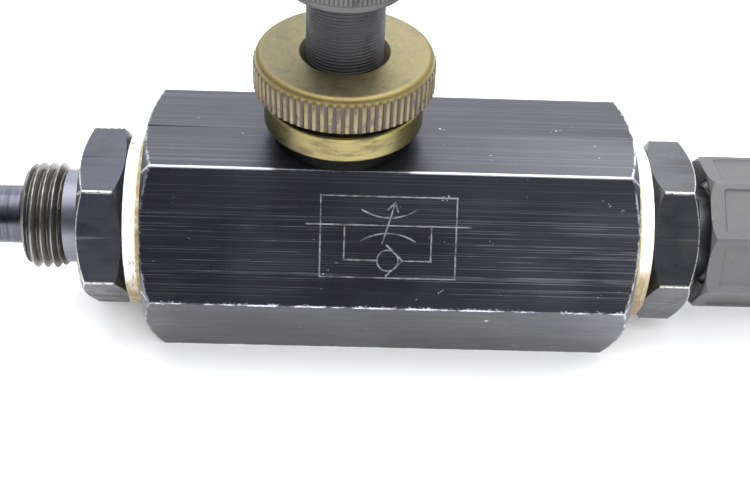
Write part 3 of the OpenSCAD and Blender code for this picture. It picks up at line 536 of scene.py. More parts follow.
# Glass-filled nylon, moulded: matt dark grey with a fine spark texture and pale flecks
def mouldedNylon():
    material, tree, shader, place = newMaterial("glassFilledNylon", Roughness=0.55, IOR=1.53)
    spark = grainAt(tree, place, (0.16, 0.16, 0.16), 3, 0.7)  # real texture is finer than this
    clouds = grainAt(tree, place, (4, 4, 4), 3, 0.6)
    base = addNode(tree, "Mix", {0: clouds, 6: linear("#4a4a4b"), 7: linear("#575759")}, data_type="RGBA")
    mask = addNode(tree, "MapRange", {0: spark, 1: 0.5, 2: 0.3}, interpolation_type="SMOOTHSTEP")
    base = addNode(tree, "Mix", {0: mask, 6: base, 7: linear("#444546")}, data_type="RGBA")
    mask = addNode(tree, "MapRange", {0: clouds, 1: 0.56, 2: 0.7, 3: 0.0, 4: 0.7},
                   interpolation_type="SMOOTHSTEP")
    base = addNode(tree, "Mix", {0: mask, 6: base, 7: linear("#5d574c")}, data_type="RGBA")
    # painted shade: darker towards the bottom
    parts = addNode(tree, "SeparateXYZ", {0: place})
    mask = addNode(tree, "MapRange", {0: parts.outputs[2], 1: 15 * mm, 2: 9 * mm, 3: 0.0, 4: 0.6},
                   interpolation_type="SMOOTHSTEP")
    base = addNode(tree, "Mix", {0: mask, 6: base, 7: linear("#343434")}, data_type="RGBA")
    mask = addNode(tree, "Math", {0: nicks(tree, place, 1.3, 0.08, 0.14), 1: 0.8}, operation="MULTIPLY")
    base = addNode(tree, "Mix", {0: mask, 6: base, 7: linear("#b3a98c")}, data_type="RGBA")
    bump = addNode(tree, "Bump", {"Height": spark, "Strength": 0.5, "Distance": 0.03 * mm})
    rough = addNode(tree, "MapRange", {0: clouds, 1: 0.3, 2: 0.7, 3: 0.48, 4: 0.6},
                    interpolation_type="SMOOTHSTEP")
    connect(tree, shader, Base_Color=base, Roughness=rough, Normal=bump)
    return material


# Phosphated steel knob: mid grey satin, dark in the knurl and rubbed on the teeth
def greySteel():
    radius = (knobHigh.x - knobLow.x) / 2 / mm
    material, tree, shader, place = newMaterial("phosphatedSteel", Metallic=0.9, Roughness=0.42)
    centred = addNode(tree, "Mapping",
                      {"Vector": place, "Location": (-spindleX, 0, 0), "Scale": [1 / mm] * 3})
    parts = addNode(tree, "SeparateXYZ", {0: centred})
    flatPlace = addNode(tree, "CombineXYZ", {0: parts.outputs[0], 1: parts.outputs[1]})
    reach = addNode(tree, "VectorMath", {0: flatPlace}, operation="LENGTH").outputs["Value"]
    clouds = grainAt(tree, place, (2.5, 2.5, 2.5), 4, 0.6)
    crest = addNode(tree, "MapRange", {0: reach, 1: radius - 0.13, 2: radius - 0.02},
                    interpolation_type="SMOOTHSTEP")
    sides = addNode(tree, "MapRange", {0: reach, 1: radius - 0.16, 2: radius - 0.14},
                    interpolation_type="SMOOTHSTEP")
    base = addNode(tree, "Mix", {0: clouds, 6: linear("#555554"), 7: linear("#626261")}, data_type="RGBA")
    tooth = addNode(tree, "Mix", {0: crest, 6: linear("#4d4b4a"), 7: linear("#626161")}, data_type="RGBA")
    base = addNode(tree, "Mix", {0: sides, 6: base, 7: tooth.outputs[2]}, data_type="RGBA")
    mask = addNode(tree, "MapRange", {0: clouds, 1: 0.58, 2: 0.75}, interpolation_type="SMOOTHSTEP")
    base = addNode(tree, "Mix", {0: mask, 6: base, 7: linear("#4c4a48")}, data_type="RGBA")
    bump = addNode(tree, "Bump", {"Height": grainAt(tree, place, (0.3, 0.3, 0.3), 3, 0.6), "Strength": 0.2,
                                  "Distance": 0.01 * mm})
    rough = addNode(tree, "MapRange", {0: clouds, 1: 0.3, 2: 0.7, 3: 0.34, 4: 0.5},
                    interpolation_type="SMOOTHSTEP")
    connect(tree, shader, Base_Color=base, Roughness=rough, Normal=bump)
    return material


# Ground steel: bright with fine turning lines across the axis it is told
def groundSteel(name, colour, dark, ringSize):
    material, tree, shader, place = newMaterial(name, Metallic=1.0, Roughness=0.22)
    rings = grainAt(tree, place, ringSize, 2, 0.6)
    haze = grainAt(tree, place, (3, 3, 3), 3, 0.6)
    mask = addNode(tree, "MapRange", {0: rings, 1: 0.3, 2: 0.6}, interpolation_type="SMOOTHSTEP")
    base = addNode(tree, "Mix", {0: mask, 6: linear(dark), 7: linear(colour)}, data_type="RGBA")
    mask = addNode(tree, "MapRange", {0: haze, 1: 0.58, 2: 0.78}, interpolation_type="SMOOTHSTEP")
    mask = addNode(tree, "Math", {0: mask, 1: 0.5}, operation="MULTIPLY")
    base = addNode(tree, "Mix", {0: mask, 6: base, 7: linear("#4b4843")}, data_type="RGBA")
    bump = addNode(tree, "Bump", {"Height": rings, "Strength": 0.2, "Distance": 0.008 * mm})
    rough = addNode(tree, "MapRange", {0: haze, 1: 0.3, 2: 0.7, 3: 0.16, 4: 0.3},
                    interpolation_type="SMOOTHSTEP")
    connect(tree, shader, Base_Color=base, Roughness=rough, Normal=bump)
    return material


# Nitrile rubber: black and dull, with a faint bloom
def rubber():
    material, tree, shader, place = newMaterial("nitrileRubber", Roughness=0.6, IOR=1.52)
    bloom = grainAt(tree, place, (0.8, 0.8, 0.8), 3, 0.6)
    mask = addNode(tree, "MapRange", {0: bloom, 1: 0.4, 2: 0.75}, interpolation_type="SMOOTHSTEP")
    base = addNode(tree, "Mix", {0: mask, 6: linear("#161616"), 7: linear("#2a2a2b")}, data_type="RGBA")
    rough = addNode(tree, "MapRange", {0: bloom, 1: 0.3, 2: 0.7, 3: 0.5, 4: 0.7},
                    interpolation_type="SMOOTHSTEP")
    connect(tree, shader, Base_Color=base, Roughness=rough)
    return material


# Cut aluminium in the engraving: pale where the cutter left it clean, brown-grey where dirt sits
def engravedCut():
    material, tree, shader, place = newMaterial("cutAluminium", Metallic=0.15, Roughness=0.6)
    dirt = grainAt(tree, place, (1.6, 0.9, 0.9), 4, 0.65)
    mask = addNode(tree, "MapRange", {0: dirt, 1: 0.4, 2: 0.62}, interpolation_type="SMOOTHSTEP")
    base = addNode(tree, "Mix", {0: mask, 6: linear("#85878c"), 7: linear("#4d4b49")}, data_type="RGBA")
    rough = addNode(tree, "MapRange", {0: dirt, 1: 0.3, 2: 0.7, 3: 0.35, 4: 0.6},
                    interpolation_type="SMOOTHSTEP")
    connect(tree, shader, Base_Color=base, Roughness=rough)
    return material


finishes["body"] = blackAnodised()
finishes["inlet"] = blackenedSteel("blackenedSteelInlet", 7.3, "#4b4c55", "#454240", 0.75)
finishes["outlet"] = blackenedSteel("blackenedSteelOutlet", -1.7, "#57585c", "#4f4b45", 0.1)
finishes["standOff"] = shadowGapFinish()
finishes["spindle"] = turnedBlack()
finishes["oldBrass"] = oldBrass()
finishes["brass"] = brass()
finishes["inletWasher"] = whiteNylon("whiteNylonInlet", 16)
finishes["outletWasher"] = whiteNylon("whiteNylonOutlet", 20)
finishes["nut"] = mouldedNylon()
finishes["knob"] = greySteel()
finishes["nipple"] = groundSteel("blackChromedSteel", "#5d6069", "#43454c", (0.14, 6, 6))
finishes["bright"] = groundSteel("groundSteel", "#b9bcc0", "#94979b", (0.2, 5, 5))
finishes["rubber"] = rubber()
finishes["cut"] = engravedCut()
print("finishes made:", len(finishes))


# Mesh helpers
def addPiece(name, verts, faces):
    mesh = bpy.data.meshes.new(name)
    mesh.from_pydata(verts, [], faces)
    piece = bpy.data.objects.new(name, mesh)
    bpy.context.scene.collection.objects.link(piece)
    return piece


# Quads between neighbouring rows of points
def gridFaces(rows, rowLength, loopRows, loopPoints, start=0):
    faces = []
    for i in range(rows if loopRows else rows - 1):
        a = start + i * rowLength
        b = start + (i + 1) % rows * rowLength
        for j in range(rowLength if loopPoints else rowLength - 1):
            k = (j + 1) % rowLength
            faces.append((a + j, a + k, b + k, b + j))
    return faces


# A profile of (radius, along, fillet) corners, each turned into an arc with a support point on either side
def filleted(corners, closed=True, steps=3):
    points = []
    count = len(corners)
    for i, (r, x, fillet) in enumerate(corners):
        here = Vector((r, x))
        if fillet == 0 or (not closed and i in (0, count - 1)):
            points.append(here)
            continue
        before = Vector(corners[i - 1][:2]) - here
        after = Vector(corners[(i + 1) % count][:2]) - here
        room = min(before.length, after.length) * 0.45
        if room < 1e-5:
            points += [here] * (steps + 3)
            continue
        before.normalize()
        after.normalize()
        half = max(before.angle(after), 1e-4) / 2
        cut = min(fillet / math.tan(half), room)
        radius = cut * math.tan(half)
        centre = here + (before + after).normalized() * (radius / math.sin(half))
        support = min(0.04, room - cut + 0.001)
        points.append(here + before * (cut + support))
        start = here + before * cut - centre
        end = here + after * cut - centre
        for step in range(steps + 1):
            t = step / steps
            arm = start.lerp(end, t).normalized() * radius
            points.append(centre + arm)
        points.append(here + after * (cut + support))
    return points


# Welds seams, faces the shell outwards and keeps only true edges sharp
def settle(piece, sharpDeg=33, weld=2e-6):
    mesh = bmesh.new()
    mesh.from_mesh(piece.data)
    bmesh.ops.remove_doubles(mesh, verts=mesh.verts, dist=weld)
    bmesh.ops.dissolve_degenerate(mesh, edges=mesh.edges, dist=1e-7)
    bmesh.ops.recalc_face_normals(mesh, faces=mesh.faces)
    for face in mesh.faces:
        face.smooth = True
    for edge in mesh.edges:
        edge.smooth = len(edge.link_faces) == 2 and edge.calc_face_angle(0) < math.radians(sharpDeg)
    mesh.to_mesh(piece.data)
    mesh.free()
    return piece


# Replaces live modifiers by their result, one plain mesh
def bake(piece):
    bpy.context.view_layer.update()
    graph = bpy.context.evaluated_depsgraph_get()
    result = bpy.data.meshes.new_from_object(piece.evaluated_get(graph), depsgraph=graph)
    piece.modifiers.clear()
    piece.data = result
    return piece


def joined(name, pieces):
    mesh = bmesh.new()
    for piece in pieces:
        mesh.from_mesh(piece.data)
        bpy.data.objects.remove(piece)
    result = bpy.data.meshes.new(name)
    mesh.to_mesh(result)
    mesh.free()
    piece = bpy.data.objects.new(name, result)
    bpy.context.scene.collection.objects.link(piece)
    return piece


def cutAway(piece, cutter, selfCross=False):
    modifier = piece.modifiers.new("cut", "BOOLEAN")
    modifier.operation = "DIFFERENCE"
    modifier.solver = "EXACT"
    modifier.material_mode = "TRANSFER"
    modifier.use_self = selfCross
    modifier.object = cutter
    bake(piece)
    bpy.data.objects.remove(cutter)
    return piece


# Turned about x through the flow axis, or about z through the spindle axis
alongFlow = Matrix.Translation((0, 0, axisZ * mm)) @ Matrix.Scale(mm, 4)
alongSpindle = Matrix.Translation((spindleX * mm, 0,
                                   0)) @ Matrix(((0, 1, 0, 0), (0, 0, 1, 0), (1, 0, 0, 0),
                                                 (0, 0, 0, 1))) @ Matrix.Scale(mm, 4)


def spun(name, points, columns=128, closed=True, place=alongFlow, finish=None, flip=False):
    verts = []
    for i in range(columns):
        a = 2 * math.pi * i / columns
        for r, x in points:
            verts.append(place @ Vector((-x if flip else x, r * math.cos(a), r * math.sin(a))))
    piece = addPiece(name, verts, gridFaces(columns, len(points), True, closed))
    if finish:
        piece.data.materials.append(finish)
    return piece


def dress(piece, body, slotName, *nodes):
    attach(piece, body)
    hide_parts(*nodes)
    print(piece.name, "has", len(piece.data.polygons), "faces")


# Geometry node trees
# One sector is repeated around x, welded and given its finish
def ringTree():
    tree = bpy.data.node_groups.new("repeatAround", "GeometryNodeTree")
    for name, kind in (("Sector", "Geometry"), ("Count", "Int"), ("Weld", "Float"), ("Finish", "Material")):
        tree.interface.new_socket(name, in_out="INPUT", socket_type="NodeSocket" + kind)
    tree.interface.new_socket("Ring", in_out="OUTPUT", socket_type="NodeSocketGeometry")
    given = addNode(tree, "NodeGroupInput")
    points = addNode(tree, "GeometryNodePoints", {"Count": given.outputs["Count"]})
    index = addNode(tree, "GeometryNodeInputIndex")
    stepAngle = addNode(tree, "Math", {0: 2 * math.pi, 1: given.outputs["Count"]}, operation="DIVIDE")
    angle = addNode(tree, "Math", {0: index, 1: stepAngle}, operation="MULTIPLY")
    turnBy = addNode(tree, "CombineXYZ", {0: angle})
    copies = addNode(tree, "GeometryNodeInstanceOnPoints",
                     {"Points": points, "Instance": given.outputs["Sector"], "Rotation": turnBy})
    real = addNode(tree, "GeometryNodeRealizeInstances", {0: copies})
    welded = addNode(tree, "GeometryNodeMergeByDistance",
                     {"Geometry": real, "Distance": given.outputs["Weld"]})
    finished = addNode(tree, "GeometryNodeSetMaterial",
                       {"Geometry": welded, "Material": given.outputs["Finish"]})
    addNode(tree, "NodeGroupOutput", {0: finished})
    return tree


# A helical thread as one sleeve along x: a grid rolled up, its radius following the helix
def threadTree():
    tree = bpy.data.node_groups.new("threadSleeve", "GeometryNodeTree")
    tree.interface.new_socket("Geometry", in_out="INPUT", socket_type="NodeSocketGeometry")
    for name, kind in (("Length", "Float"), ("Lead", "Float"), ("Root", "Float"), ("Height", "Float"),
                       ("Rows", "Int"), ("Columns", "Int"), ("Finish", "Material")):
        tree.interface.new_socket(name, in_out="INPUT", socket_type="NodeSocket" + kind)
    tree.interface.new_socket("Sleeve", in_out="OUTPUT", socket_type="NodeSocketGeometry")
    given = addNode(tree, "NodeGroupInput")
    around = addNode(tree, "Math", {0: given.outputs["Columns"], 1: 1.0})
    grid = addNode(tree, "GeometryNodeMeshGrid",
                   {"Size X": 1.0, "Size Y": 1.0, "Vertices X": given.outputs["Rows"],
                    "Vertices Y": around})
    spot = addNode(tree, "SeparateXYZ", {0: addNode(tree, "GeometryNodeInputPosition")})
    share = addNode(tree, "Math", {0: spot.outputs[0], 1: 0.5})
    along = addNode(tree, "Math", {0: share, 1: given.outputs["Length"]}, operation="MULTIPLY")
    lap = addNode(tree, "Math", {0: spot.outputs[1], 1: 0.5})
    angle = addNode(tree, "Math", {0: lap, 1: 2 * math.pi}, operation="MULTIPLY")
    turns = addNode(tree, "Math", {0: along, 1: given.outputs["Lead"]}, operation="DIVIDE")
    phase = addNode(tree, "Math", {0: addNode(tree, "Math", {0: turns, 1: lap}, operation="SUBTRACT")},
                    operation="FRACT")
    doubled = addNode(tree, "Math", {0: phase, 1: 2.0}, operation="MULTIPLY")
    wave = addNode(tree, "Math", {0: doubled, 1: 1.0}, operation="PINGPONG")
    tooth = addNode(tree, "MapRange", {"Value": wave, "From Min": 0.1, "From Max": 0.88})
    raised = addNode(tree, "Math", {0: tooth, 1: given.outputs["Height"]}, operation="MULTIPLY")
    left = addNode(tree, "Math", {0: given.outputs["Length"], 1: along}, operation="SUBTRACT")
    ends = addNode(tree, "Math", {0: along, 1: left}, operation="MINIMUM")
    capped = addNode(tree, "Math", {0: raised, 1: ends}, operation="MINIMUM")
    radius = addNode(tree, "Math", {0: capped, 1: given.outputs["Root"]})
    y = addNode(tree, "Math", {0: radius, 1: addNode(tree, "Math", {0: angle}, operation="COSINE")},
                operation="MULTIPLY")
    z = addNode(tree, "Math", {0: radius, 1: addNode(tree, "Math", {0: angle}, operation="SINE")},
                operation="MULTIPLY")
    moved = addNode(tree, "GeometryNodeSetPosition",
                    {"Geometry": grid.outputs["Mesh"],
                     "Position": addNode(tree, "CombineXYZ", {0: along, 1: y, 2: z})})
    real = addNode(tree, "GeometryNodeRealizeInstances", {0: moved})
    finished = addNode(tree, "GeometryNodeSetMaterial",
                       {"Geometry": real, "Material": given.outputs["Finish"]})
    addNode(tree, "NodeGroupOutput", {0: finished})
    return tree


# A wound wire along x
def coilTree():
    tree = bpy.data.node_groups.new("woundWire", "GeometryNodeTree")
    tree.interface.new_socket("Geometry", in_out="INPUT", socket_type="NodeSocketGeometry")
    for name, kind in (("Turns", "Float"), ("Coil Radius", "Float"), ("Length", "Float"),
                       ("Wire Radius", "Float"), ("Finish", "Material")):
        tree.interface.new_socket(name, in_out="INPUT", socket_type="NodeSocket" + kind)
    tree.interface.new_socket("Coil", in_out="OUTPUT", socket_type="NodeSocketGeometry")
    given = addNode(tree, "NodeGroupInput")
    spiral = addNode(tree, "GeometryNodeCurveSpiral",
                     {"Resolution": 40, "Rotations": given.outputs["Turns"],
                      "Start Radius": given.outputs["Coil Radius"],
                      "End Radius": given.outputs["Coil Radius"], "Height": given.outputs["Length"]})
    ring = addNode(tree, "GeometryNodeCurvePrimitiveCircle",
                   {"Resolution": 12, "Radius": given.outputs["Wire Radius"]})
    wire = addNode(tree, "GeometryNodeCurveToMesh",
                   {"Curve": spiral, "Profile Curve": ring, "Fill Caps": True})
    real = addNode(tree, "GeometryNodeRealizeInstances", {0: wire})
    finished = addNode(tree, "GeometryNodeSetMaterial",
                       {"Geometry": real, "Material": given.outputs["Finish"]})
    addNode(tree, "NodeGroupOutput", {0: finished})
    return tree


def applyTree(piece, tree, **values):
    modifier = piece.modifiers.new(tree.name, "NODES")
    modifier.node_group = tree
    for item in tree.interface.items_tree:
        if item.in_out == "INPUT" and item.name.replace(" ", "") in values:
            modifier[item.identifier] = values[item.name.replace(" ", "")]
    return bake(piece)


repeatAround = ringTree()
threadSleeve = threadTree()
woundWire = coilTree()


# Sector of rows about x, repeated into a whole ring and put in place
def wholeRing(name, rows, count, finish, closed, place=alongFlow, turnDeg=0.0, flip=False):
    verts = [p for row in rows for p in row]
    piece = addPiece(name, verts, gridFaces(len(rows), len(rows[0]), False, closed))
    applyTree(piece, repeatAround, Count=count, Weld=0.0004, Finish=finish)
    spin = Matrix.Rotation(math.radians(turnDeg), 4, "X")
    mirror = Matrix.Scale(-1, 4, (1, 0, 0)) if flip else Matrix.Identity(4)
    piece.data.transform(place @ mirror @ spin)
    return piece


def sleeve(name, start, length, lead, root, height, rowsPerTurn, columns, finish, place=alongFlow,
           flip=False):
    piece = addPiece(name, [], [])
    applyTree(piece, threadSleeve, Length=length, Lead=lead, Root=root, Height=height,
              Rows=int(length / lead * rowsPerTurn) + 1, Columns=columns, Finish=finish)
    mirror = Matrix.Scale(-1, 4, (1, 0, 0)) if flip else Matrix.Identity(4)
    piece.data.transform(place @ mirror @ Matrix.Translation((start, 0, 0)))
    return piece


# Angles across one side of a rounded polygon bar, corner in the middle, with the radius at each
def barSector(sides, flat, cornerRadius, flatSteps, arcSteps=5):
    half = math.pi / sides
    centre = (flat - cornerRadius) / math.cos(half)
    tangent = math.atan2(cornerRadius * math.sin(half), centre + cornerRadius * math.cos(half))
    angles = [i / flatSteps * (half - tangent * 1.25) for i in range(flatSteps + 1)]
    toCorner = [-half + a for a in angles]
    roundCorner = [-tangent + 2 * tangent * i / arcSteps for i in range(arcSteps + 1)]
    fromCorner = [half - a for a in reversed(angles)]
    result = []
    for a in toCorner + roundCorner + fromCorner:
        if abs(a) < tangent:
            radius = centre * math.cos(a) + math.sqrt(cornerRadius ** 2 - (centre * math.sin(a)) ** 2)
        else:
            radius = flat / math.cos(half - abs(a))
        result.append((a, radius))
    return result


# Floor and light
def studio():
    sizes = {"floor": 3.0, "sky": 1.0}
    floor = addPiece("floor", [(-sizes["floor"], -sizes["floor"], 0), (sizes["floor"], -sizes["floor"], 0),
                               (sizes["floor"], sizes["floor"], 0), (-sizes["floor"], sizes["floor"], 0)],
                     [(0, 1, 2, 3)])
    material, tree, shader = newMaterial("palePaper", Roughness=0.9)[:3]
    shader.inputs["Base Color"].default_value = linear("#f7f7f7")
    floor.data.materials.append(material)
    world = bpy.data.worlds.new("softStudio")
    world.use_nodes = True
    bpy.context.scene.world = world
    tree = world.node_tree
    sky = tree.nodes["Background"]
    heading = addNode(tree, "TexCoord").outputs["Generated"]
    lean = addNode(tree, "VectorMath", {0: heading, 1: (0.15, 0.6, 0.8)}, operation="DOT_PRODUCT")
    glow = addNode(tree, "MapRange", {0: lean.outputs["Value"], 1: -0.45, 2: 0.75},
                   interpolation_type="SMOOTHSTEP")
    light = addNode(tree, "Mix", {0: glow, 6: linear("#3f4249"), 7: linear("#f6f8ff")}, data_type="RGBA")
    seen = addNode(tree, "LightPath").outputs["Is Camera Ray"]
    mask = addNode(tree, "Mix", {0: seen, 6: light.outputs[2], 7: linear("#f1f2f4")}, data_type="RGBA")
    tree.links.new(mask.outputs[2], sky.inputs["Color"])
    sky.inputs["Strength"].default_value = sizes["sky"]
    # the front panel lights the paper but leaves no glare on the metal
    panels = {"keyPanel": {"spot": (0.1, 0.05, 0.6), "size": 0.8, "power": 6.5, "glare": True},
              "frontPanel": {"spot": (0.05, -0.55, 0.5), "size": 0.5, "power": 5.4, "glare": False},
              "backPanel": {"spot": (-0.05, 0.6, 0.4), "size": 0.6, "power": 1.7, "glare": True}}
    for name, panel in panels.items():
        data = bpy.data.lights.new(name, "AREA")
        data.shape = "SQUARE"
        data.size = panel["size"]
        data.energy = panel["power"]
        lamp = bpy.data.objects.new(name, data)
        bpy.context.scene.collection.objects.link(lamp)
        lamp.location = panel["spot"]
        lamp.visible_glossy = panel["glare"]
        lamp.rotation_euler = (Vector(panel["spot"]) - Vector((
                                                                  0, 0,
                                                                  0.02))).to_track_quat(
                                                                      "Z", "Y").to_euler()


studio()
print("studio lit")


# The hexagonal body
def strokeCutter(points, width, depth, wobble):
    # a tapered bar follows the stroke; u and v run on the engraved face, w out of it
    verts = []
    faces = []
    for i, p in enumerate(points):
        before = points[max(i - 1, 0)]
        after = points[min(i + 1, len(points) - 1)]
        run = (Vector(after) - Vector(before)).normalized()
        across = Vector((-run.y, run.x))
        end = -0.5 * width if i == 0 else (0.5 * width if i == len(points) - 1 else 0)
        here = Vector(p) + run * end
        half = width / 2 * (1 + random.uniform(-wobble, wobble))
        low = -depth * (1 + random.uniform(-wobble, wobble))
        for side, w in ((1.9, 0.25), (0.22, low), (-0.22, low), (-1.9, 0.25)):
            spot = here + across * half * side
            verts.append((spot.x, spot.y, w))
    count = len(points)
    faces += gridFaces(count, 4, False, True)
    faces.append((0, 1, 2, 3))
    last = 4 * (count - 1)
    faces.append((last + 3, last + 2, last + 1, last))
    return verts, faces


def arcPoints(centre, radius, fromDeg, toDeg, steps):
    angles = [math.radians(fromDeg + (toDeg - fromDeg) * i / steps) for i in range(steps + 1)]
    return [(centre[0] + radius * math.cos(a), centre[1] + radius * math.sin(a)) for a in angles]


def symbolStrokes():
    sizes = {"width": 19.2, "height": 11.6, "rise": 0.5, "overrun": 2.0, "flow": 2.2, "check": -2.8,
             "back": 6.2, "ahead": 6.1, "ball": 1.5, "throatRadius": 7.0, "throatHalf": 32.4}
    left = -sizes["width"] / 2
    right = sizes["width"] / 2
    low = sizes["rise"] - sizes["height"] / 2
    high = sizes["rise"] + sizes["height"] / 2
    flow = sizes["flow"]
    check = sizes["check"]
    cup = sizes["throatHalf"]
    apex = sizes["ball"] + 0.6
    strokes = [[(left, low), (right, low)], [(left, high), (right, high)], [(left, low), (left, high)],
               [(right, low), (right, high)],
               [(left - sizes["overrun"], flow), (right + sizes["overrun"], flow)],
               [(-sizes["back"], flow), (-sizes["back"], check)],
               [(sizes["ahead"], flow), (sizes["ahead"], check)],
               [(-sizes["back"], check), (-sizes["ball"], check)],
               [(apex, check), (sizes["ahead"], check)], [(apex, check), (-0.2, check + 2.2)],
               [(apex, check), (-0.2, check - 2.2)], [(-0.8, -0.3), (0.9, 5.5)],
               [(0.9, 5.5), (-0.1, 4.5)], [(0.9, 5.5), (1.3, 4.2)]]
    strokes.append(arcPoints((0, 3.3 + sizes["throatRadius"]), sizes["throatRadius"], 270 - cup,
                             270 + cup, 10))
    strokes.append(arcPoints((0, 1.1 - sizes["throatRadius"]), sizes["throatRadius"], 90 + cup, 90 - cup,
                             10))
    ring = arcPoints((0, check), sizes["ball"], 0, 360, 24)
    return strokes, ring


def buildBody():
    sizes = {"flat": 17.0, "cornerRadius": 0.3, "creaseRadius": 0.14, "portRadius": 10.48,
             "portDepth": 14.0, "mouth": 0.5, "strokeWidth": 0.28, "strokeDepth": 0.12,
             "symbolBack": 0.25, "flare": 1.9}
    # the bonnet's bore, the chamber over the seat and the hole under it, as (radius, height)
    bore = [(0, 17.9), (2.0, 17.9), (2.0, 20.0), (4.52, 20.0), (4.52, 22.2), (5.5, 22.2), (5.5, 26.6),
            (7.92, 26.6), (7.92, 32.5), (9.4, 32.5), (9.4, 35.0), (0, 35.0)]
    # inlet way, outlet way, check bore, check hole and the retaining ring's groove
    ways = [{"radius": 2.1, "start": -22.4, "end": -11.5, "rise": 7.0},
            {"radius": 1.9, "start": -7.0, "end": 22.4, "rise": 0.9},
            {"radius": 3.2, "start": -22.4, "end": 2.0, "rise": -5.7},
            {"radius": 2.0, "start": 1.0, "end": 22.4, "rise": -5.7},
            {"radius": 3.7, "start": -16.3, "end": -15.45, "rise": -5.7}]
    flat = sizes["flat"]
    slope = math.tan(math.radians(30))
    port = sizes["portRadius"]
    floorX = halfBody - sizes["portDepth"]
    rows = []
    for a, radius in barSector(6, flat, sizes["cornerRadius"], 22):
        crease = halfBody - (radius - flat) * slope
        half = [(0, floorX, 0), (port, floorX, 0), (port, halfBody - sizes["mouth"], 0),
                (port + sizes["mouth"], halfBody, 0), (flat, halfBody, sizes["creaseRadius"]),
                (radius, crease, sizes["creaseRadius"])]
        corners = [(r, -x, f) for r, x, f in half] + [(r, x, f) for r, x, f in reversed(half)]
        rows.append([(p.y, p.x * math.cos(a), p.x * math.sin(a)) for p in filleted(corners, closed=False)])
    body = wholeRing("hexBody", rows, 6, finishes["body"], closed=False)
    settle(body)
    cutAway(body, spun("boreCutter", bore, 96, False, alongSpindle))
    for way in ways:
        place = Matrix.Translation((0, 0, way["rise"] * mm)) @ alongFlow
        profile = [(0, way["start"]), (way["radius"], way["start"]), (way["radius"], way["end"]),
                   (0, way["end"])]
        cutAway(body, settle(spun("wayCutter", profile, 48, False, place)))
    # the engraved symbol on the upper front face
    across = Vector((0, 0.5, math.cos(math.radians(30))))
    outward = Vector((0, -math.cos(math.radians(30)), 0.5))
    centre = Vector((-sizes["symbolBack"], 0, axisZ)) + outward * flat
    strokes, ring = symbolStrokes()
    for stroke in strokes:
        if len(stroke) == 2:
            begin, finish = Vector(stroke[0]), Vector(stroke[1])
            steps = max(2, int((finish - begin).length / 1.2))
            stroke[:] = [tuple(begin.lerp(finish, i / steps)) for i in range(steps + 1)]
        verts, faces = strokeCutter(stroke, sizes["strokeWidth"], sizes["strokeDepth"], 0.18)
        spots = [(centre + Vector((u, 0, 0)) + across * v + outward * w) * mm for u, v, w in verts]
        cutter = addPiece("stroke", spots, faces)
        cutter.data.materials.append(finishes["cut"])
        cutAway(body, settle(cutter))
    verts = []
    middle = sum((Vector(p) for p in ring[:-1]), Vector((0, 0))) / (len(ring) - 1)
    half = sizes["strokeWidth"] / 2
    for u, v in ring[:-1]:
        spot = Vector((u, v))
        arm = (spot - middle).normalized() * half
        for share, w in ((sizes["flare"], 0.25), (0.22, -sizes["strokeDepth"]),
                         (-0.22, -sizes["strokeDepth"]), (-sizes["flare"], 0.25)):
            place = spot + arm * share
            verts.append((centre + Vector((place.x, 0, 0)) + across * place.y + outward * w) * mm)
    cutter = addPiece("ballRing", verts, gridFaces(24, 4, True, True))
    cutter.data.materials.append(finishes["cut"])
    cutAway(body, settle(cutter))
    settle(body, weld=5e-7)
    dress(body, "housing", "black_anodised", "body")


buildBody()
print("body done")


# Adapters
# Triangles between two rings in one plane whose points stand at different angles
def zipRings(inner, outer, place):
    verts = [place @ Vector(p) for p in inner + outer]

    def turnOf(p):
        return math.atan2(p[2], p[1]) % (2 * math.pi)
    a = sorted(range(len(inner)), key=lambda i: turnOf(inner[i]))
    b = sorted(range(len(outer)), key=lambda i: turnOf(outer[i]))
    faces = []
    i = j = 0
    while i < len(a) or j < len(b):
        nextA = turnOf(inner[a[(i + 1) % len(a)]]) + (2 * math.pi if i + 1 >= len(a) else 0)
        nextB = turnOf(outer[b[(j + 1) % len(b)]]) + (2 * math.pi if j + 1 >= len(b) else 0)
        p, q = a[i % len(a)], len(inner) + b[j % len(b)]
        if j >= len(b) or (i < len(a) and nextA <= nextB):
            i += 1
            faces.append((p, q, a[i % len(a)]))
        else:
            j += 1
            faces.append((p, q, len(inner) + b[j % len(b)]))
    return verts, faces


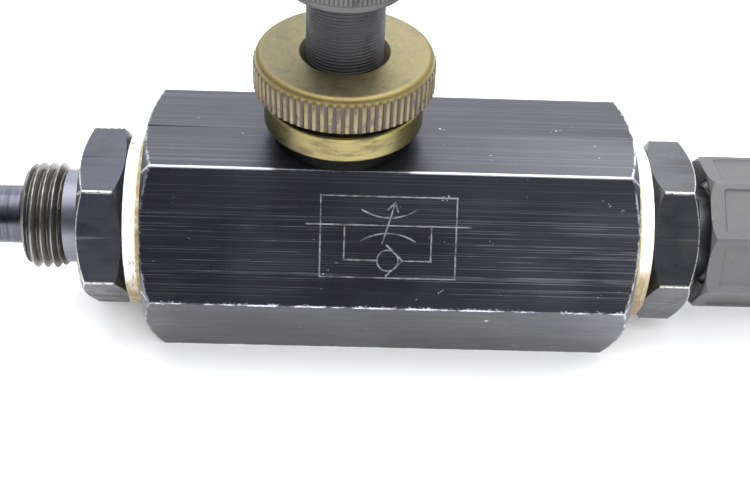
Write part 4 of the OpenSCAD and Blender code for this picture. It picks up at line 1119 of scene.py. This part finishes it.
def buildAdapter(name, node, finish, turnDeg, flip):
    sizes = {"flat": 12.0, "lowStart": 11.45, "cornerRadius": 0.25, "creaseRadius": 0.12, "stud": 10.43,
             "studLength": 10.0, "bore": 3.2, "seat": 4.47, "seatDepth": 5.4, "neck": 7.1,
             "neckLength": 3.05, "threadRadius": 8.0, "threadHeight": 0.9, "lead": 1.5, "hollow": 1.2,
             "columns": 144}
    studEnd = halfBody - sizes["studLength"]
    seatX = spigotEnd - sizes["seatDepth"]
    threadStart = hexEnd + sizes["neckLength"]
    columns = sizes["columns"]
    slope = math.tan(math.radians(30))
    flat = sizes["flat"]
    rows = []
    studZip = sizes["stud"] + 0.3
    neckZip = sizes["neck"] + 0.6
    for a, radius in barSector(6, flat, sizes["cornerRadius"], 18):
        lowCrease = hexStart + (radius - sizes["lowStart"]) * slope
        highCrease = hexEnd - (radius - flat) * slope
        corners = [(studZip, hexStart, 0), (sizes["lowStart"], hexStart, 0.1),
                   (radius, lowCrease, sizes["creaseRadius"]), (radius, highCrease, sizes["creaseRadius"]),
                   (flat, hexEnd, sizes["creaseRadius"]), (neckZip, hexEnd, 0)]
        rows.append([(p.y, p.x * math.cos(a), p.x * math.sin(a)) for p in filleted(corners, closed=False)])
    place = alongFlow @ (Matrix.Scale(-1, 4, (1, 0, 0)) if flip else Matrix.Identity(4))
    skin = wholeRing("skin", rows, 6, finish, False, alongFlow, turnDeg, flip)
    root = sizes["threadRadius"] - sizes["threadHeight"]
    end = spigotEnd
    inside = filleted([(root, end, 0), (root - 0.1, end, 0), (5.1, end - sizes["hollow"], 0.2),
                       (sizes["seat"], end - sizes["hollow"], 0), (sizes["seat"], seatX, 0),
                       (sizes["bore"], seatX, 0), (sizes["bore"], studEnd, 0.2),
                       (sizes["stud"] - 1, studEnd, 0), (sizes["stud"], studEnd + 1, 0.2),
                       (sizes["stud"], hexStart, 0), (studZip, hexStart, 0)], closed=False)
    core = spun("core", inside, columns, False, alongFlow, finish, flip)
    neck = filleted([(neckZip, hexEnd, 0), (sizes["neck"], hexEnd, 0.25),
                     (sizes["neck"], threadStart, 0), (root, threadStart, 0)], closed=False)
    collar = spun("collar", neck, columns, False, alongFlow, finish, flip)
    threads = sleeve("threads", threadStart, end - threadStart, sizes["lead"], root,
                     sizes["threadHeight"], 24, columns, finish, alongFlow, flip)
    parts = [skin, core, collar, threads]
    spin = Matrix.Rotation(math.radians(turnDeg), 3, "X")
    for x, ring in ((hexStart, studZip), (hexEnd, neckZip)):
        even = [(x, ring * math.cos(2 * math.pi * i / columns), ring * math.sin(2 * math.pi * i / columns))
                for i in range(columns)]
        row = 0 if x == hexStart else -1
        uneven = []
        for k in range(6):
            sixth = Matrix.Rotation(k * math.pi / 3, 3, "X")
            uneven += [tuple(spin @ sixth @ Vector(rows[i][row])) for i in range(len(rows) - 1)]
        parts.append(addPiece("zip", *zipRings(even, uneven, place)))
        parts[-1].data.materials.append(finish)
    adapter = joined(name, parts)
    adapter.data.materials.append(finish)
    settle(adapter)
    dress(adapter, "housing", "black_steel", node)


buildAdapter("inletAdapter", "inlet_adapter", finishes["inlet"], 7.3, True)
buildAdapter("outletAdapter", "outlet_adapter", finishes["outlet"], -1.7, False)
print("adapters done")


# Turned rings and tubes
washer = {"bore": 10.6, "radius": 13.1, "innerRound": 0.1, "outerRound": 0.35}
washerProfile = [(washer["bore"], halfBody, washer["innerRound"]),
                 (washer["radius"], halfBody, washer["outerRound"]),
                 (washer["radius"], hexStart, washer["outerRound"]),
                 (washer["bore"], hexStart, washer["innerRound"])]
nipple = {"bore": 2.9, "radius": 4.45, "collar": 4.8, "mouth": 3.9, "inside": 5.4, "collarStart": 1.2,
          "collarEnd": 0.2, "runOut": 0.9, "taper": 0.7}
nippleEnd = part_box("outlet_nipple")[1].x / mm
nippleProfile = [(nipple["bore"], spigotEnd - nipple["inside"], 0),
                 (nipple["radius"], spigotEnd - nipple["inside"], 0),
                 (nipple["radius"], spigotEnd - nipple["collarStart"], 0),
                 (nipple["collar"], spigotEnd - nipple["collarStart"], 0),
                 (nipple["collar"], spigotEnd - nipple["collarEnd"], 0.3),
                 (nipple["radius"], spigotEnd + nipple["runOut"], 0.6),
                 (nipple["radius"], nippleEnd - nipple["taper"], 0.5),
                 (nipple["mouth"], nippleEnd, 0.3), (nipple["bore"], nippleEnd, 0.2)]
turnedPieces = [{"name": "inletWasher", "node": "inlet_washer", "slot": "washer_plastic",
                 "finish": "inletWasher", "flip": True, "profile": washerProfile},
                {"name": "outletWasher", "node": "outlet_washer", "slot": "washer_plastic",
                 "finish": "outletWasher", "flip": False, "profile": washerProfile},
                {"name": "inletNipple", "node": "inlet_nipple", "slot": "nipple_steel",
                 "finish": "nipple", "flip": True, "profile": nippleProfile},
                {"name": "outletNipple", "node": "outlet_nipple", "slot": "nipple_steel",
                 "finish": "nipple", "flip": False, "profile": nippleProfile}]
for made in turnedPieces:
    ring = spun(made["name"], filleted(made["profile"]), 144, True, alongFlow, finishes[made["finish"]],
                made["flip"])
    dress(settle(ring), "housing", made["slot"], made["node"])

clamp = {"bore": 6.1, "radius": 7.9, "nose": 6.4, "start": 54.4, "coneStart": 55.7, "end": 59.0}
clampProfile = [(clamp["bore"], clamp["start"], 0.1), (clamp["radius"], clamp["start"], 0.15),
                (clamp["radius"], clamp["coneStart"], 0.2), (clamp["nose"], clamp["end"], 0.08),
                (clamp["bore"], clamp["end"], 0.05)]
clampRing = spun("clampRing", filleted(clampProfile), 128, True, alongFlow, finishes["bright"])
dress(settle(clampRing), "clamp_ring", "bright_steel", "clamp_ring")

# Heights above the bench: the stand-off, the flange on it, and the washer on the flange
stack = {"standOffLow": 34, "flangeLow": 36.5, "washerLow": 40.5, "washerHigh": 41.8}
standOff = {"bore": 7.95, "radius": 10, "edge": 0.1}
gland = {"bore": 4.05, "mouth": 5.5, "seal": 5.45, "thread": 7.9, "nose": 7.3, "flange": 11.4, "low": 26.6,
         "noseHigh": 27.2, "sealLow": 27.6, "sealHigh": 29.5, "mouthLow": 30.1}
lockWasher = {"bore": 5.65, "radius": 9.4, "innerEdge": 0.05, "outerEdge": 0.1}
standOffProfile = [(standOff["bore"], stack["standOffLow"], 0),
                   (standOff["radius"], stack["standOffLow"], standOff["edge"]),
                   (standOff["radius"], stack["flangeLow"], standOff["edge"]),
                   (standOff["bore"], stack["flangeLow"], 0)]
glandProfile = [(gland["bore"], gland["low"], 0), (gland["nose"], gland["low"], 0),
                (gland["thread"], gland["noseHigh"], 0), (gland["thread"], stack["flangeLow"], 0),
                (gland["flange"], stack["flangeLow"], 0.3), (gland["flange"], stack["washerLow"], 0.35),
                (gland["mouth"], stack["washerLow"], 0.1), (gland["mouth"], gland["mouthLow"], 0),
                (gland["bore"], gland["mouthLow"], 0), (gland["bore"], gland["sealHigh"], 0),
                (gland["seal"], gland["sealHigh"], 0), (gland["seal"], gland["sealLow"], 0),
                (gland["bore"], gland["sealLow"], 0)]
lockWasherProfile = [(lockWasher["bore"], stack["washerLow"], lockWasher["innerEdge"]),
                     (lockWasher["radius"], stack["washerLow"], lockWasher["outerEdge"]),
                     (lockWasher["radius"], stack["washerHigh"], lockWasher["outerEdge"]),
                     (lockWasher["bore"], stack["washerHigh"], lockWasher["innerEdge"])]
uprights = [{"name": "bonnetSpacer", "node": "bonnet_spacer", "body": "housing", "slot": "black_steel",
             "finish": "standOff", "profile": standOffProfile},
            {"name": "bonnetFlange", "node": "bonnet", "body": "housing", "slot": "brass",
             "finish": "brass", "profile": glandProfile},
            {"name": "lockWasher", "node": "lock_washer", "body": "lock_washer", "slot": "black_steel",
             "finish": "spindle", "profile": lockWasherProfile}]
for made in uprights:
    ring = spun(made["name"], filleted(made["profile"]), 160, True, alongSpindle, finishes[made["finish"]])
    dress(settle(ring), made["body"], made["slot"], made["node"])
print("turned pieces done")


# Knurled lock nut and knob
# Radius across one tooth: a rounded crest and a narrower valley
def toothRows(teeth, radius, depth, columns, cornersAt):
    rows = []
    for i in range(columns + 1):
        t = i / columns
        a = 2 * math.pi / teeth * (t - 0.5)
        dip = (0.5 + 0.5 * math.cos(2 * math.pi * t)) ** 1.4
        crest = radius - depth * dip
        rows.append([(p.y, p.x * math.cos(a),
                      p.x * math.sin(a)) for p in filleted(cornersAt(crest), steps=2)])
    return rows


def buildLockNut():
    sizes = {"teeth": 70, "depth": 0.3, "shoulder": 0.95, "sink": 6.4, "bore": 5.5}
    low = lockLow.z / mm
    high = lockHigh.z / mm
    radius = lockHigh.x / mm - spindleX
    shoulder = sizes["shoulder"]
    plain = radius - sizes["depth"] + 0.02

    def corners(crest):
        # the teeth run out just under a smooth rounded shoulder
        shoulderCurve = [(plain - shoulder * (1 - math.sin(a)), high - shoulder * (1 - math.cos(a)), 0)
                         for a in [math.radians(15 * i) for i in range(6, -1, -1)]]
        return [(sizes["bore"], low, 0), (radius - 0.6, low, 0.05), (crest, low + 0.45, 0.12),
                (crest, high - shoulder - 0.35, 0)] + shoulderCurve \
            + [(sizes["sink"], high, 0.12), (sizes["bore"], high - sizes["sink"] + sizes["bore"], 0)]
    rows = toothRows(sizes["teeth"], radius, sizes["depth"], 10, corners)
    nut = wholeRing("lockNut", rows, sizes["teeth"], finishes["oldBrass"], True, alongSpindle)
    dress(settle(nut, 40), "lock_nut", "old_brass", "lock_nut")


def buildKnob():
    sizes = {"teeth": 84, "depth": 0.16, "band": 0.9, "edge": 0.8, "bore": 4.02, "boreEnd": 3.5,
             "radius": 8.6, "screwRadius": 1.52, "screwRise": 7.0}
    low = knobLow.z / mm
    high = knobHigh.z / mm
    radius = sizes["radius"]
    inner = radius - sizes["edge"]
    plain = radius - sizes["depth"]
    band = low + sizes["band"]

    def corners(crest):
        return [(0, high - sizes["boreEnd"], 0), (sizes["bore"], high - sizes["boreEnd"], 0),
                (sizes["bore"], low, 0.15), (plain - 0.03, low, 0.2), (plain - 0.02, band, 0.05),
                (crest, band + 0.15, 0.06), (crest, high - (crest - inner), 0.2), (inner, high, 0.35),
                (0, high, 0)]
    rows = toothRows(sizes["teeth"], radius, sizes["depth"], 8, corners)
    knob = wholeRing("knurledKnob", rows, sizes["teeth"], finishes["knob"], False, alongSpindle)
    settle(knob, 40)
    profile = [(0, 0), (sizes["screwRadius"], 0), (sizes["screwRadius"], radius + 1), (0, radius + 1)]
    reach = Matrix.Translation((spindleX * mm, 0, (low + sizes["screwRise"]) * mm)) \
        @ Matrix.Rotation(math.radians(90), 4, "Z") @ Matrix.Scale(mm, 4)
    cutAway(knob, settle(spun("screwCutter", profile, 48, False, reach, finishes["knob"])))
    settle(knob, 40)
    dress(knob, "spindle", "knob_steel", "knob")


buildLockNut()
buildKnob()
print("knurled pieces done")


# Spindle
def buildSpindle():
    sizes = {"radius": 5.45, "height": 0.1, "lead": 0.5, "columns": 80, "rowsPerTurn": 8, "shank": 4.0,
             "pocket": 3.25, "clipGroove": 3.85}
    low = spindleLow.z / mm
    top = knobLow.z / mm
    high = spindleHigh.z / mm
    root = sizes["radius"] - sizes["height"]
    clipLow = low + 0.7
    clipHigh = clipLow + 0.8
    pocketTop = clipHigh + 1.3
    threads = sleeve("threads", low, top - low, sizes["lead"], root, sizes["height"], sizes["rowsPerTurn"],
                     sizes["columns"], finishes["spindle"], alongSpindle)
    upper = filleted([(root, top, 0), (sizes["shank"], top, 0), (sizes["shank"], high - 0.6, 0.1),
                      (sizes["shank"] - 0.6, high, 0.1), (0, high, 0)], closed=False)
    lower = [(0, pocketTop), (sizes["pocket"], pocketTop), (sizes["pocket"], clipHigh),
             (sizes["clipGroove"], clipHigh), (sizes["clipGroove"], clipLow), (sizes["pocket"], clipLow),
             (sizes["pocket"], low), (root, low)]
    parts = [threads] + [spun("end", points, sizes["columns"], False, alongSpindle, finishes["spindle"])
                         for points in (upper, lower)]
    spindle = joined("threadedSpindle", parts)
    spindle.data.materials.append(finishes["spindle"])
    settle(spindle, 50)
    dress(spindle, "spindle", "black_steel", "spindle")


buildSpindle()
print("spindle done")


# Union nut
def spaced(start, end, step):
    count = max(1, round((end - start) / step))
    return [start + (end - start) * i / count for i in range(count + 1)]


def buildUnionNut():
    sizes = {"flat": 10.8, "radius": 11.6, "rim": 0.6, "endRim": 1.1, "bore": 8.05, "mouth": 10.4,
             "mouthDepth": 1.8, "cone": 55.7, "coneLength": 4.0, "hose": 6.2, "panelWidth": 7.0,
             "panelStart": 2.0, "panelEnd": 2.3, "panelDepth": 0.38, "panelCorner": 0.7, "wall": 0.25,
             "turn": -10.0, "seam": 51.5}
    start = nutLow.x / mm
    end = nutHigh.x / mm
    flat = sizes["flat"]
    limit = sizes["radius"]
    halfWidth = sizes["panelWidth"] / 2
    panelStart = start + sizes["panelStart"]
    panelEnd = end - sizes["panelEnd"]
    middle = (panelStart + panelEnd) / 2
    halfLength = (panelEnd - panelStart) / 2
    corner = sizes["panelCorner"]
    edgeAngle = math.degrees(math.acos(flat / limit))
    wallAngle = math.degrees(math.atan(halfWidth / flat))
    # close steps at the corners and the panel's walls, wide ones over the flat
    halfSide, nearWall, fine, coarse = 22.5, 2.2, 0.45, 3.2
    across = spaced(-halfSide, -edgeAngle - 0.1, 0.6)
    across += spaced(-edgeAngle + 0.3, -wallAngle + nearWall, fine)[:-1]
    across += spaced(-wallAngle + nearWall, wallAngle - nearWall, coarse)[:-1]
    across += spaced(wallAngle - nearWall, edgeAngle - 0.3, fine)
    across += spaced(edgeAngle + 0.1, halfSide, 0.6)
    fromX = start + sizes["rim"] + 0.05
    toX = end - sizes["endRim"] - 0.05
    along = spaced(fromX, panelStart + 1.2, 0.15)[:-1] + spaced(panelStart + 1.2, panelEnd - 1.2, 1.4)[:-1] \
        + spaced(panelEnd - 1.2, toX, 0.15)

    def recess(s, x):
        dx = abs(x - middle) - (halfLength - corner)
        ds = abs(s) - (halfWidth - corner)
        far = math.hypot(max(dx, 0), max(ds, 0)) + min(max(dx, ds), 0) - corner
        t = min(max(-far / sizes["wall"], 0), 1)
        return sizes["panelDepth"] * t * t * (3 - 2 * t)
    rows = []
    for deg in across:
        a = math.radians(deg)
        skin = min(flat / math.cos(a), limit)
        row = []
        startLip = limit - sizes["rim"]
        endLip = limit - sizes["endRim"]
        inner = filleted([(sizes["bore"], sizes["seam"], 0),
                          (sizes["bore"], start + sizes["mouthDepth"], 0.2),
                          (sizes["mouth"], start, 0.12), (startLip - 0.05, start, 0.15),
                          (skin, start + skin - startLip, 0.2), (skin, start + 4, 0)], closed=False)[:-1]
        outer = filleted([(skin, end - 4, 0), (skin, end - (skin - endLip), 0.3),
                          (endLip - 0.05, end, 0.3), (sizes["hose"] + 0.6, end, 0.25),
                          (sizes["hose"], end - 0.6, 0.2),
                          (sizes["hose"], sizes["cone"] + sizes["coneLength"], 0.1),
                          (sizes["bore"], sizes["cone"], 0.1), (sizes["bore"], sizes["seam"] + 1, 0)],
                         closed=False)[1:]
        for p in inner[1:]:
            row.append((p.y, p.x * math.sin(a), p.x * math.cos(a)))
        for x in along:
            row.append((x, skin * math.sin(a), skin * math.cos(a) - recess(skin * math.sin(a), x)))
        for p in outer:
            row.append((p.y, p.x * math.sin(a), p.x * math.cos(a)))
        rows.append(row)
    nut = wholeRing("unionNut", rows, 8, finishes["nut"], True, alongFlow, sizes["turn"])
    dress(settle(nut, 48), "union_nut", "nut_plastic", "union_nut")


buildUnionNut()
print("union nut done")


# Check valve spring
springLow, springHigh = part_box("check_spring")
springSizes = {"turns": 6.0, "coil": 2.5, "wire": 0.3}
spring = addPiece("checkSpring", [], [])
springLength = (springHigh.x - springLow.x) / mm - 2 * springSizes["wire"]
applyTree(spring, woundWire, Turns=springSizes["turns"], CoilRadius=springSizes["coil"],
          Length=springLength, WireRadius=springSizes["wire"], Finish=finishes["bright"])
lay = Matrix.Translation((springLow.x + springSizes["wire"] * mm, 0, (axisZ - 5.7) * mm)) \
    @ Matrix.Rotation(math.radians(90), 4, "Y") @ Matrix.Scale(mm, 4)
spring.data.transform(lay)
dress(settle(spring, 60), "housing", "bright_steel", "check_spring")
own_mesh(spring)

# Pieces that stay as they are in the frame
kept = {"bonnet_oring": "rubber", "needle_oring": "rubber", "backup_ring": "outletWasher",
        "swivel_clip": "bright", "needle": "bright", "knob_screw": "spindle", "throttle_seat": "brass",
        "check_seat": "brass", "check_ball": "bright", "spring_retainer": "brass",
        "retaining_ring": "bright"}
for node, finish in kept.items():
    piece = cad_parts[node]
    for materialSlot in piece.material_slots:
        materialSlot.material = finishes[finish]
print("inner pieces dressed:", len(kept))
